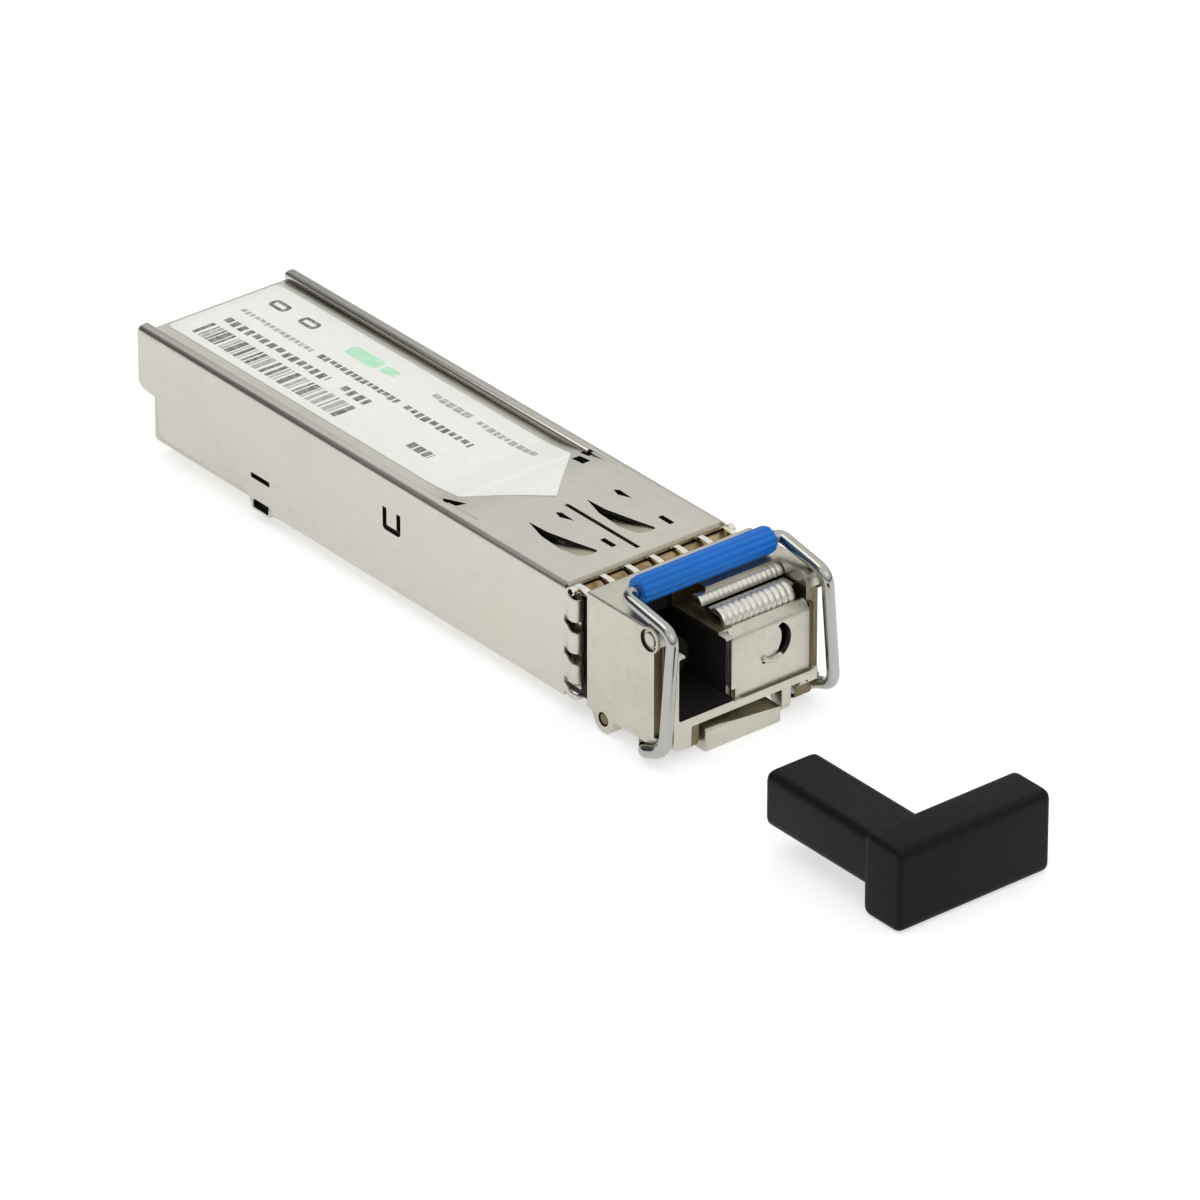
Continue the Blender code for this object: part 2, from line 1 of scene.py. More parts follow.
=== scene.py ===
"""Looks of the pluggable optical transceiver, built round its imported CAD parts.

Lengths are the drawing's millimetres: x from the shell's rear end towards the port, y from the
centreline, z up from the bottom face. place() turns them into the frame's metres.
"""
import json
import math
import random

import bmesh
import bpy
from mathutils import Matrix, Vector


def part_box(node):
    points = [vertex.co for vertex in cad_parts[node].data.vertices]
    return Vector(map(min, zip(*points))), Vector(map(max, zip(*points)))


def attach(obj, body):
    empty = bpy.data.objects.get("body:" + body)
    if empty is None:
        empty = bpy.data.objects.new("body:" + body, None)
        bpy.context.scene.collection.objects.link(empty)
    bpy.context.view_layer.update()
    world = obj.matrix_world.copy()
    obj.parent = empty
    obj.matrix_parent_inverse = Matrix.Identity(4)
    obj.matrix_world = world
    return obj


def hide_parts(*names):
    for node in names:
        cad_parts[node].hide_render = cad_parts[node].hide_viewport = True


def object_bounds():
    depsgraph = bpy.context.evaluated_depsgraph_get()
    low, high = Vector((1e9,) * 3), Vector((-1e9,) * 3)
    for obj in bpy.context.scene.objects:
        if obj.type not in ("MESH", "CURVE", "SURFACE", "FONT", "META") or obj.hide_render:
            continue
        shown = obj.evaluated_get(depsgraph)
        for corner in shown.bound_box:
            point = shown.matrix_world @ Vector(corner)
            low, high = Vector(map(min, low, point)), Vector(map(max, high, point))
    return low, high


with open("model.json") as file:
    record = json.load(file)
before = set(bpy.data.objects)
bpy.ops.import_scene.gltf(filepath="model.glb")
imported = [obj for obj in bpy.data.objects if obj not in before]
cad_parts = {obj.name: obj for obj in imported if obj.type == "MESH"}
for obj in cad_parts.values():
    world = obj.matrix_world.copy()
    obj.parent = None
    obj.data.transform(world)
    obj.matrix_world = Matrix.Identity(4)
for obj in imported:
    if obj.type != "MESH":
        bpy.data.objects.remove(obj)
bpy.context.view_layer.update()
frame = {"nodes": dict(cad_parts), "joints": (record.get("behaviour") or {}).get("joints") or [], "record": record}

MM = 0.001
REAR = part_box("outer_shell")[0].x


def spans(node):
    """A CAD node's x, y and z ranges in the drawing's millimetres."""
    low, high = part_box(node)
    return ((low.x - REAR) / MM, (high.x - REAR) / MM), (low.y / MM, high.y / MM), (low.z / MM, high.z / MM)


def mount(name):
    """A mount's position in the frame, in millimetres."""
    found = next(m for m in frame["record"]["mounts"] if m["name"] == name)
    return [value / MM for value in found["pos_m"]]


def hinge(name):
    """x and z of a joint's axis, in the drawing's millimetres."""
    found = next(joint for joint in frame["joints"] if joint["name"] == name)
    return (found["pos_m"][0] - REAR) / MM, found["pos_m"][2] / MM


# Driving dimensions. Spans, axes and faces come from the frame; plain numbers are details of the looks.
HALF = abs(mount("side_wall_face")[1])
TOP = mount("front_plate_face")[2]
SHEET = 0.3
FINGER_TIP = spans("outer_shell")[0][1]
COLLAR_X, COLLAR_Y, COLLAR_Z = spans("emi_spring_collar")
SHELL_END = COLLAR_X[0] - 0.08
NOSE_BACK = COLLAR_X[1] + 0.1
NOSE_X, NOSE_Y, NOSE_Z = spans("nose_housing")
NOSE_FRONT = NOSE_X[1]
NOSE_HALF = NOSE_Y[1] - 0.2
NOSE_TOP = NOSE_Z[1]
NOSE_BOTTOM = 0.5
COVER_X, COVER_Y, COVER_Z = spans("top_cover")
LABEL_X, LABEL_Y = spans("product_label")[:2]
PANEL_X, PANEL_Y, PANEL_Z = spans("blanking_cover")
WIRE_X, WIRE_Y, WIRE_Z = spans("bail_wire")
WIRE_R = 0.43
SLEEVE_X, SLEEVE_Y, SLEEVE_Z = spans("bail_sleeve")
BAR_X = sum(SLEEVE_X) / 2
BAR_Z = sum(SLEEVE_Z) / 2
BAIL_X, BAIL_Z = hinge("bail_hinge")
ROCKER_AXIS = hinge("rocker_hinge")
ROCKER_BOX = spans("latch_rocker")
PLUG_X, PLUG_Y, PLUG_Z = spans("dust_plug")
BOARD_X, BOARD_Z = spans("circuit_board")[::2]

RAIL_WIDTH = 1.05
RAIL_END = 32.2
PLATE_BACK = 35.1
RAMP = (28.3, 34.9)
FINGER_SLOTS = (8.2, 5.8, 3.5, 1.3)
PORT_Y = (-5.6, -1.1)
PORT_Z = (2.45, 7.0)
PORT_BACK = 46.4
BAY_Y = (-0.5, 5.5)
BAY_FLOOR = 2.35
CAVITY_ROOF = 1.8
BOSS = (53.97, 8.3)
RAIL_NOTCH = ((31.0, -5.25), (32.85, -4.78), (32.5, -5.72), (31.4, -5.72))
TONGUE_Y = 2.4
GROOVE = ((-1.6, 1.6), (-2.0, 1.65))
PRINT_LIFT = (0.046, 0.056)

# Where cutters that pass right through end: beyond both sides, and out past the front.
ACROSS = (-9.0, 9.0)
AHEAD = 60.0


# Mesh tools.


def place(x, y, z):
    return Vector((REAR + x * MM, y * MM, z * MM))


def along(axis, pair, depth):
    """A point of an outline, given the two other axes' values in order, at a depth along one axis."""
    values = list(pair)
    values.insert("xyz".index(axis), depth)
    return place(*values)


def add(name, bm, surface):
    """Turns a finished mesh into an object, with its faces turned outwards."""
    bmesh.ops.recalc_face_normals(bm, faces=bm.faces)
    mesh = bpy.data.meshes.new(name)
    bm.to_mesh(mesh)
    bm.free()
    obj = bpy.data.objects.new(name, mesh)
    bpy.context.scene.collection.objects.link(obj)
    mesh.materials.append(surface)
    return obj


def soften(obj, angle=35.0):
    obj.data.shade_smooth()
    obj.data.set_sharp_from_angle(angle=math.radians(angle))
    return obj


def mirrored(side, near, far):
    """The span between two distances from the centreline, on one side of it."""
    return sorted((side * near, side * far))


def rectangle(a, b):
    """The four corners that two spans make."""
    return [(a[0], b[0]), (a[1], b[0]), (a[1], b[1]), (a[0], b[1])]


def arc(centre, radius, start, turn, steps=8):
    angles = [math.radians(start + turn * i / steps) for i in range(steps + 1)]
    return [(centre[0] + radius * math.cos(a), centre[1] + radius * math.sin(a)) for a in angles]


def rounded(corners, reach=0.3, steps=4, closed=True):
    """A line through corners with each corner rounded. A third value sets one corner's own reach."""
    path = []
    last = len(corners) - 1
    size = 3 if isinstance(corners[0], Vector) else 2
    for i, corner in enumerate(corners):
        here = Vector(corner[:size])
        cut = corner[2] if size == 2 and len(corner) > 2 else reach
        if cut == 0 or (not closed and i in (0, last)):
            path.append(here)
            continue
        first = here + (Vector(corners[i - 1][:size]) - here).normalized() * cut
        final = here + (Vector(corners[(i + 1) % len(corners)][:size]) - here).normalized() * cut
        for k in range(steps + 1):
            t = k / steps
            path.append(first * (1 - t) ** 2 + here * 2 * t * (1 - t) + final * t**2)
    return path


def side_step(before, here, after):
    """The unit step to the left of a line at one of its points, lengthened for the corner there."""
    normals = []
    for start, end in ((before, here), (here, after)):
        way = (Vector(end) - Vector(start)).normalized()
        normals.append(Vector((-way.y, way.x)))
    return (normals[0] + normals[1]) / max(1 + normals[0].dot(normals[1]), 0.3)


def inset(outline, distance):
    """A closed outline moved inwards."""
    points = [Vector(p) for p in outline]
    ahead = points[1:] + points[:1]
    behind = points[-1:] + points[:-1]
    turn = math.copysign(1, sum(a.x * b.y - b.x * a.y for a, b in zip(points, ahead)))
    return [p + side_step(b, p, a) * turn * distance for b, p, a in zip(behind, points, ahead)]


def strip(path, thick):
    """Closed outline of a sheet whose outer face follows an open path and whose body is on its left."""
    points = [Vector(p) for p in path]
    behind = [points[0] * 2 - points[1]] + points[:-1]
    ahead = points[1:] + [points[-1] * 2 - points[-2]]
    inner = [p + side_step(b, p, a) * thick for b, p, a in zip(behind, points, ahead)]
    return points + inner[::-1]


def bent_sheet(corners, thick, reach=0.2):
    """Closed outline of a sheet bent along a line of corners."""
    return strip(rounded(corners, reach, closed=False), thick)


def loft(name, rings, surface):
    """Skin through closed rings that have the same number of points, with a cap at both ends."""
    bm = bmesh.new()
    loops = [[bm.verts.new(p) for p in ring] for ring in rings]
    count = len(loops[0])
    for one, two in zip(loops, loops[1:]):
        for i in range(count):
            j = (i + 1) % count
            bm.faces.new((one[i], one[j], two[j], two[i]))
    bm.faces.new(loops[0])
    bm.faces.new(loops[-1][::-1])
    return add(name, bm, surface)


def solid(name, outline, axis, span, surface, ease=0.04, steps=2):
    """An outline extruded along an axis, with the edges of its two ends rounded by ease."""
    low, high = span
    ends = []
    for k in range(steps + 1 if ease else 1):
        angle = math.pi / 2 * k / steps
        pull = ease * (1 - math.sin(angle)) if ease else 0.0
        ends.append((inset(outline, pull), ease * (1 - math.cos(angle))))
    rings = [[along(axis, p, low + rise) for p in shape] for shape, rise in ends]
    rings += [[along(axis, p, high - rise) for p in shape] for shape, rise in reversed(ends)]
    return loft(name, rings, surface)


def slab(name, x, y, z, surface, reach=0.0, ease=0.04):
    """A block with its vertical corners rounded by reach and its level edges by ease."""
    corners = rectangle(x, y)
    return solid(name, rounded(corners, reach) if reach else corners, "z", z, surface, ease)


def rod(name, axis, centre, radius, span, surface, ease=0.05, steps=32):
    return solid(name, arc(centre, radius, 0, 360, steps)[:-1], axis, span, surface, ease)


def tube(name, path, radius, surface, sides=20):
    """A round bar along a path, with domed ends."""
    rings = []
    across = Vector((0.0, 0.0, 1.0))
    for i, here in enumerate(path):
        way = (path[min(i + 1, len(path) - 1)] - path[max(i - 1, 0)]).normalized()
        across = (across - way * across.dot(way)).normalized()
        other = way.cross(across)
        angles = [2 * math.pi * k / sides for k in range(sides)]
        spokes = [across * math.cos(a) + other * math.sin(a) for a in angles]
        sizes = [(0.0, 1.0)]
        if i in (0, len(path) - 1):
            sizes = [(0.3, 0.55), (0.12, 0.88), (0.0, 1.0)]
        out = -1 if i == 0 else 1
        for push, share in sizes if i == 0 else sizes[::-1]:
            centre = here + way * out * push * radius
            rings.append([centre + spoke * radius * share for spoke in spokes])
    return soften(loft(name, rings, surface), 50)


def combine(target, others, operation):
    """Applies Booleans with the other objects to the target, and removes those objects."""
    for other in others:
        modifier = target.modifiers.new(other.name, "BOOLEAN")
        modifier.operation = operation
        modifier.solver = "EXACT"
        modifier.material_mode = "TRANSFER"
        modifier.object = other
    graph = bpy.context.evaluated_depsgraph_get()
    mesh = bpy.data.meshes.new_from_object(target.evaluated_get(graph))
    target.modifiers.clear()
    target.data = mesh
    for other in others:
        bpy.data.objects.remove(other, do_unlink=True)
    return target


def carve(target, *cutters):
    return combine(target, cutters, "DIFFERENCE")


def weld(target, *others):
    return combine(target, others, "UNION")


def gather(name, parts):
    """Joins separate solids into one object."""
    bm = bmesh.new()
    surfaces = []
    for part in parts:
        first = len(bm.faces)
        bm.from_mesh(part.data)
        bm.faces.ensure_lookup_table()
        surface = part.data.materials[0]
        if surface not in surfaces:
            surfaces.append(surface)
        for face in bm.faces[first:]:
            face.material_index = surfaces.index(surface)
        bpy.data.objects.remove(part, do_unlink=True)
    mesh = bpy.data.meshes.new(name)
    bm.to_mesh(mesh)
    bm.free()
    for surface in surfaces:
        mesh.materials.append(surface)
    obj = bpy.data.objects.new(name, mesh)
    bpy.context.scene.collection.objects.link(obj)
    return obj


def settle(obj, body, slot, *nodes):
    """Puts a finished piece on its body, in place of the CAD nodes it stands for."""
    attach(obj, body)
    if nodes:
        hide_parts(*nodes)
    return obj


# Materials.


def fill_ramp(node, stops):
    """Sets a colour ramp's stops from pairs of a position and a colour."""
    elements = node.color_ramp.elements
    while len(elements) < len(stops):
        elements.new(0.5)
    for element, (position, colour) in zip(elements, stops):
        element.position = position
        element.color = (*colour, 1.0)


class Surface:
    """A node material under construction."""

    def __init__(self, name, colour, roughness, metallic=0.0, specular=0.5):
        self.material = bpy.data.materials.new(name)
        self.material.use_nodes = True
        self.tree = self.material.node_tree
        self.shader = self.tree.nodes["Principled BSDF"]
        self.set("Base Color", (*colour, 1.0))
        self.set("Roughness", roughness)
        self.set("Metallic", metallic)
        self.set("Specular IOR Level", specular)
        self.coordinates = self.tree.nodes.new("ShaderNodeTexCoord").outputs["Object"]

    def set(self, socket, value):
        self.shader.inputs[socket].default_value = value

    def link(self, output, socket):
        self.tree.links.new(output, socket)

    def noise(self, scale, stretch=(1.0, 1.0, 1.0), detail=3.0):
        """Noise of the given number of features to the metre, times stretch along each axis."""
        mapping = self.tree.nodes.new("ShaderNodeMapping")
        mapping.inputs["Scale"].default_value = stretch
        self.link(self.coordinates, mapping.inputs["Vector"])
        made = self.tree.nodes.new("ShaderNodeTexNoise")
        made.inputs["Scale"].default_value = scale
        made.inputs["Detail"].default_value = detail
        made.inputs["Roughness"].default_value = 0.55
        self.link(mapping.outputs["Vector"], made.inputs["Vector"])
        return made.outputs["Fac"]

    def ramp(self, factor, *stops):
        """Colour ramp over (position, colour) stops."""
        made = self.tree.nodes.new("ShaderNodeValToRGB")
        fill_ramp(made, stops)
        self.link(factor, made.inputs["Fac"])
        return made.outputs["Color"]

    def multiply(self, one, two):
        """The product of two colour outputs."""
        made = self.tree.nodes.new("ShaderNodeMix")
        made.data_type = "RGBA"
        made.blend_type = "MULTIPLY"
        made.inputs["Factor"].default_value = 1.0
        self.link(one, made.inputs[6])
        self.link(two, made.inputs[7])
        return made.outputs[2]

    def range(self, factor, low, high):
        """Spreads the middle of a noise over a range of values."""
        made = self.tree.nodes.new("ShaderNodeMapRange")
        made.inputs["From Min"].default_value = 0.3
        made.inputs["From Max"].default_value = 0.7
        made.inputs["To Min"].default_value = low
        made.inputs["To Max"].default_value = high
        self.link(factor, made.inputs["Value"])
        return made.outputs["Result"]

    def bump(self, height, distance, before=None):
        made = self.tree.nodes.new("ShaderNodeBump")
        made.inputs["Strength"].default_value = 1.0
        made.inputs["Distance"].default_value = distance
        self.link(height, made.inputs["Height"])
        if before:
            self.link(before, made.inputs["Normal"])
        return made.outputs["Normal"]

    def colour(self, output):
        self.link(output, self.shader.inputs["Base Color"])

    def gloss(self, output):
        self.link(output, self.shader.inputs["Roughness"])

    def normal(self, output):
        self.link(output, self.shader.inputs["Normal"])


def shade(colour, factor):
    return tuple(min(1.0, value * factor) for value in colour)


def rolled_metal(name, colour, roughness=(0.24, 0.36), grain=(0.03, 1.0, 1.0), cloud=0.06):
    """Plated sheet: slow warm and cool clouds, fine rolling marks along one axis, small specks."""
    made = Surface(name, colour, roughness[0], 1.0)
    slow = made.noise(70.0, detail=2.0)
    cool = shade(colour, 1.0 - cloud)
    warm = (colour[0] * 1.03, colour[1], colour[2] * 0.97)
    cloudy = made.ramp(slow, (0.32, cool), (0.55, colour), (0.75, warm))
    streak = made.noise(2200.0, grain, 4.0)
    marks = made.ramp(streak, (0.25, (0.97,) * 3), (0.6, (1.0,) * 3))
    speck = made.ramp(made.noise(900.0, detail=3.0), (0.3, (0.965,) * 3), (0.6, (1.0,) * 3))
    made.colour(made.multiply(made.multiply(cloudy, marks), speck))
    made.gloss(made.range(streak, *roughness))
    fine = made.bump(streak, 0.0000004)
    made.normal(made.bump(made.noise(150.0, detail=1.0), 0.00001, fine))
    return made.material


def cast_metal(name, colour, roughness=(0.3, 0.44)):
    """Plated die casting: orange-peel skin, faint flow clouds and a few darker pits."""
    made = Surface(name, colour, roughness[0], 1.0)
    slow = made.noise(160.0, detail=3.0)
    cloudy = made.ramp(slow, (0.3, shade(colour, 0.93)), (0.55, colour), (0.75, shade(colour, 1.04)))
    pits = made.ramp(made.noise(1300.0, detail=3.0), (0.3, (0.93,) * 3), (0.5, (1.0,) * 3))
    made.colour(made.multiply(cloudy, pits))
    peel = made.noise(3200.0, detail=2.0)
    made.gloss(made.range(peel, *roughness))
    fine = made.bump(peel, 0.0000035)
    made.normal(made.bump(made.noise(330.0, detail=1.0), 0.000014, fine))
    return made.material


def plastic(name, colour, roughness, specular):
    """Moulded plastic with spark-eroded texture and slight unevenness of colour."""
    made = Surface(name, colour, roughness[0], 0.0, specular)
    slow = made.noise(240.0, detail=2.0)
    made.colour(made.ramp(slow, (0.3, shade(colour, 0.88)), (0.7, shade(colour, 1.12))))
    grain = made.noise(5200.0, detail=2.0)
    made.gloss(made.range(grain, *roughness))
    made.normal(made.bump(grain, 0.000003))
    return made.material


def paper(name, colour):
    """Coated polyester label stock with faint fibre mottling."""
    made = Surface(name, colour, 0.5, 0.0, 0.4)
    fibre = made.noise(900.0, (1.0, 1.6, 1.0), 4.0)
    made.colour(made.ramp(fibre, (0.3, shade(colour, 0.965)), (0.7, shade(colour, 1.01))))
    made.gloss(made.range(fibre, 0.42, 0.58))
    made.normal(made.bump(made.noise(200.0, detail=1.0), 0.000008))
    return made.material


def ink(name, colour):
    """Thermal print: uneven density that lets some of the paper's tone through."""
    made = Surface(name, colour, 0.55, 0.0, 0.3)
    density = made.noise(2600.0, detail=3.0)
    made.colour(made.ramp(density, (0.3, colour), (0.72, tuple(0.35 + 0.65 * value for value in colour))))
    made.gloss(made.range(density, 0.45, 0.62))
    return made.material


def speckled(name, colour, second, scale, roughness, metallic=0.0, bump=0.000002):
    """Two-tone fine speckle, for board parts, ceramics and flexible circuits."""
    made = Surface(name, colour, roughness, metallic)
    grain = made.noise(scale, detail=3.0)
    made.colour(made.ramp(grain, (0.35, colour), (0.65, second)))
    made.gloss(made.range(grain, roughness * 0.85, min(1.0, roughness * 1.2)))
    made.normal(made.bump(grain, bump))
    return made.material


NICKEL = (0.583, 0.566, 0.512)
CAST = (0.562, 0.54, 0.467)
materials = {
    "nickel_sheet": rolled_metal("nickel_sheet", NICKEL),
    "plated_zinc": cast_metal("plated_zinc", CAST),
    "bright_wire": rolled_metal("bright_wire", (0.42, 0.425, 0.40), (0.12, 0.2), (1.0, 0.2, 0.2), 0.03),
    "spring_sheet": rolled_metal("spring_sheet", (0.74, 0.72, 0.66), (0.16, 0.26), (0.05, 1.0, 1.0)),
    "gold_plated_can": rolled_metal("gold_plated_can", (0.75, 0.57, 0.25), (0.2, 0.32)),
    "label_paper": paper("label_paper", (0.87, 0.88, 0.83)),
    "blue_plastic": plastic("blue_plastic", (0.001, 0.145, 0.56), (0.34, 0.46), specular=0.28),
    "black_plastic": plastic("black_plastic", (0.0045, 0.005, 0.005), (0.42, 0.55), specular=0.11),
    "white_ceramic": speckled("white_ceramic", (0.82, 0.82, 0.79), (0.88, 0.88, 0.86), 3000.0, 0.2),
    "filter_glass": speckled("filter_glass", (0.45, 0.62, 0.7), (0.5, 0.66, 0.72), 800.0, 0.06, bump=5e-7),
    "polyimide": speckled("polyimide", (0.42, 0.17, 0.025), (0.5, 0.22, 0.04), 1400.0, 0.35),
    "green_laminate": speckled("green_laminate", (0.012, 0.11, 0.035), (0.02, 0.15, 0.05), 2600.0, 0.3),
    "chip_epoxy": speckled("chip_epoxy", (0.014, 0.014, 0.015), (0.03, 0.03, 0.032), 6000.0, 0.45),
    "ferrite": speckled("ferrite", (0.05, 0.05, 0.052), (0.09, 0.09, 0.09), 5000.0, 0.5),
    "capacitor_ceramic": speckled("capacitor_ceramic", (0.36, 0.24, 0.13), (0.42, 0.29, 0.17), 4200.0, 0.4),
    "thermal_gel": speckled("thermal_gel", (0.35, 0.45, 0.56), (0.42, 0.52, 0.62), 1800.0, 0.7),
}
# The inner strip under the collar windows: bronze, with a dark-to-pale speckle that also paints the shade and
# highlights seen through the windows.
bronze_and_shade = speckled("bronze_and_shade_strip", (0.17, 0.12, 0.06), (0.5, 0.36, 0.2), 700.0, 0.28, 1.0)
# A lighter copy of the plated zinc for the rolled edges of the blanking panel: painted light.
lit_casting = cast_metal("lit_casting", (0.68, 0.66, 0.60))
# Dark brown zinc, painted shade: it goes on the faces of hollows, recesses and holes, and on lugs, ears, the stop
# block and the pivot pin where they lie in shadow.
painted_shade = cast_metal("painted_shade_casting", (0.20, 0.165, 0.10), (0.35, 0.5))
# A darker brownish copy of the nickel for the sunk tongue leaves: painted shade.
shaded_leaf = rolled_metal("shaded_leaf_sheet", (0.46, 0.41, 0.32), (0.3, 0.42), cloud=0.2)
# Brown speckle for the push block's top: painted shade with pale flecks of painted highlight.
shade_and_glints = speckled("shade_and_glints", (0.19, 0.165, 0.10), (0.50, 0.45, 0.30), 900.0, 0.42, 0.45)
# Near-black plastic: the port's black insert, and painted shadow on the walls of openings, notches and pockets and
# on dark pieces set where there is only shadow.
black_insert_and_shadow = plastic("black_insert_and_shadow_port", (0.011, 0.0095, 0.0075), (0.5, 0.65), specular=0.25)
print_black = ink("print_black", (0.075, 0.075, 0.075))
print_grey = ink("print_grey", (0.33, 0.34, 0.33))
print_green = ink("print_green", (0.42, 0.78, 0.52))
contact_gold = rolled_metal("contact_gold", (0.85, 0.62, 0.25), (0.15, 0.25))


# Sheet-metal shell.


def shell_side_outline():
    """One side wall seen along y, with the stepped tail and skirt."""
    skirt, above = 0.35, TOP + 1.0
    ahead = FINGER_TIP + 1.0
    corners = [
        (-0.02, above, 0),
        (-0.02, 4.0, 0.9),
        (2.1, 3.9, 0.6),
        (2.1, 1.1, 1.0),
        (12.0, 1.1, 0.2),
        (12.2, skirt, 0.15),
        (ahead, skirt, 0),
        (ahead, above, 0),
    ]
    return rounded(corners)


def tongue_cuts(side):
    """Openings round one lanced grounding tongue, with their cut faces painted black shadow."""
    y = TONGUE_Y * side
    belly = [(37.4, y - 0.95), (39.2, y - 0.85), (41.6, y - 0.28), (43.2, y + 0.15, 0.25)]
    belly += [(43.35, y - 0.55, 0.4), (43.0, y - 1.3, 0.35), (41.5, y - 1.62), (39.4, y - 1.5)]
    relief = [(37.5, y + 1.2), (38.2, y + 1.0), (39.2, y + 1.42), (37.8, y + 1.5)]
    level = (TOP - 0.7, TOP + 1.0)
    yield solid("belly", rounded(belly, 0.12), "z", level, black_insert_and_shadow, 0.0)
    yield solid("relief", rounded(relief, 0.06), "z", level, black_insert_and_shadow, 0.0)
    yield slab("notch", (42.15, 43.4), (y + 1.1, y + 1.5), level, black_insert_and_shadow, 0.06, 0.0)


def tongue_leaf(side):
    """The drawn leaf of a tongue: level with the plate at its near edge and sunk at its open far edge, in a darker
    nickel that paints the shade it lies in.
    """
    y = TONGUE_Y * side
    level, thickness = TOP - 0.07, 0.16
    count = 16
    rings = []
    for i in range(count + 1):
        t = i / count
        x = 38.2 + 5.1 * t
        near = y - 1.28 - 0.42 * math.sin(math.pi * min(1.0, 0.2 + 0.62 * t)) + 0.5 * t**4
        reach = 0.35 + 1.35 * t**1.2
        drop = 0.75 * (1 - t) ** 1.5 + 0.05
        top = [(near, level), (near + reach * 0.5, level - drop * 0.42), (near + reach, level - drop)]
        low = [(a, b - thickness) for a, b in reversed(top)]
        rings.append([place(x, a, b) for a, b in top + low])
    return loft(f"tongue_pad_{side}", rings, shaded_leaf)


def shell_rail(side, metal):
    """The hemmed rail on one side, the strap in front of it and the small foot under the wall."""
    edge = HALF - RAIL_WIDTH
    level, low = TOP - 0.012, COVER_Z[1] + 0.04
    hem = [(edge + 0.6, level, 0), (edge, level, 0.36), (edge, low, 0.08)]
    hem += [(edge + 0.24, low, 0.08), (edge + 0.6, level - 0.26, 0)]
    hem = [(side * y, *rest) for y, *rest in hem]
    yield solid("roll", rounded(hem, 0.1, 5), "x", (0.02, RAIL_END), metal, 0.03)
    strap_x = (RAIL_END - 0.1 if side < 0 else RAIL_END + 0.5, PLATE_BACK + 0.2)
    yield slab("strap", strap_x, mirrored(side, edge, edge + 0.4), (TOP - 0.29, level), metal, 0.0, 0.02)
    foot = rounded([(12.25, 0.6, 0), (12.3, 0.0, 0.2), (14.35, 0.0, 0.2), (14.4, 0.6, 0)], 0.2)
    yield solid("foot", foot, "y", mirrored(side, HALF - 0.34, HALF + 0.04), metal, 0.03)


def side_openings():
    """The slot, the gap over the foot and the U-shaped lance, cut through both side walls, with their cut faces
    painted black shadow.
    """
    slot = rounded(rectangle((12.3, 14.3), (2.3, 2.68)), 0.1)
    yield solid("slot", slot, "y", ACROSS, black_insert_and_shadow, 0.0)
    gap = rounded(rectangle((12.55, 14.2), (0.16, 0.78)), 0.12)
    yield solid("foot_gap", gap, "y", ACROSS, black_insert_and_shadow, 0.0)
    left, right, low, high, wide = 26.42, 28.3, 4.5, 6.15, 0.42
    lance = [(left, high), (left, low, 0.35), (right, low, 0.35), (right, high), (right - wide, high)]
    lance += [(right - wide, low + wide), (left + wide, low + wide), (left + wide, high)]
    yield solid("lance", rounded(lance, 0.06), "y", ACROSS, black_insert_and_shadow, 0.0)


def build_shell():
    metal = materials["nickel_sheet"]
    path = rounded([(HALF, -1.0), (HALF, TOP), (-HALF, TOP), (-HALF, -1.0)], 0.55, 6, closed=False)
    shell = solid("shell_sheet", strip(path, SHEET), "x", (0.0, FINGER_TIP + 0.5), metal, 0.05)
    combine(shell, [solid("side_outline", shell_side_outline(), "y", ACROSS, metal, 0.0)], "INTERSECT")
    window_half = HALF - RAIL_WIDTH + 0.25
    cuts = [
        slab("label_window", (-1.0, PLATE_BACK), (-window_half, window_half), (6.0, 10.0), metal, 0.0, 0.0),
        slab("front_end", (SHELL_END, 50.0), ACROSS, (-2.0, 10.0), metal, 0.0, 0.0),
    ]
    carve(shell, *cuts)
    weld(shell, *shell_rail(-1, metal), *shell_rail(1, metal))
    # The notch's walls are painted black shadow.
    carve(shell, solid("rail_notch", RAIL_NOTCH, "z", (7.5, 10.0), black_insert_and_shadow, 0.0))
    slit = slab("slit", (37.1, 44.5), (-0.16, 0.16), (TOP - 1.0, TOP + 1.0), metal, 0.08, 0.0)
    carve(shell, slit, *tongue_cuts(-1), *tongue_cuts(1), *side_openings())
    settle(soften(shell), "housing", "nickel_sheet", "outer_shell")

    leaves = gather("shell_tongues", [tongue_leaf(-1), tongue_leaf(1)])
    settle(soften(leaves, 50), "housing", "nickel_sheet")


def build_fingers():
    """Spring fingers at the front of both side walls, bowed outwards and parted by wedge-shaped slots."""
    bow = [
        (SHELL_END - 0.3, HALF - 0.01),
        (SHELL_END + 0.2, HALF),
        (SHELL_END + 0.75, HALF + 0.22),
        (FINGER_TIP - 0.95, HALF + 0.14),
        (FINGER_TIP - 0.75, HALF - 0.32),
        (FINGER_TIP - 0.82, HALF - 0.56),
    ]
    root = REAR + SHELL_END * MM
    fingers = []
    for side in (-1, 1):
        for high, low in zip(FINGER_SLOTS, FINGER_SLOTS[1:] + (0.15,)):
            outline = bent_sheet([(x, y * side) for x, y in bow], 0.16 * -side, 0.22)
            finger = solid("finger", outline, "z", (low + 0.45, high), materials["nickel_sheet"], 0.05)
            middle = (low + high) / 2 * MM
            for vertex in finger.data.vertices:
                slant = 0.06 if vertex.co.z < middle else 0.36
                vertex.co.z -= slant * max(0.0, vertex.co.x - root)
            fingers.append(finger)
    settle(soften(gather("shell_fingers", fingers), 40), "housing", "nickel_sheet")


def deck(x):
    """Height of the cover plate's upper face: level, then a gentle ramp up to the front plate."""
    t = min(1.0, max(0.0, (x - RAMP[0]) / (RAMP[1] - RAMP[0])))
    return COVER_Z[1] + (TOP - 0.002 - COVER_Z[1]) * t * t * (3 - 2 * t)


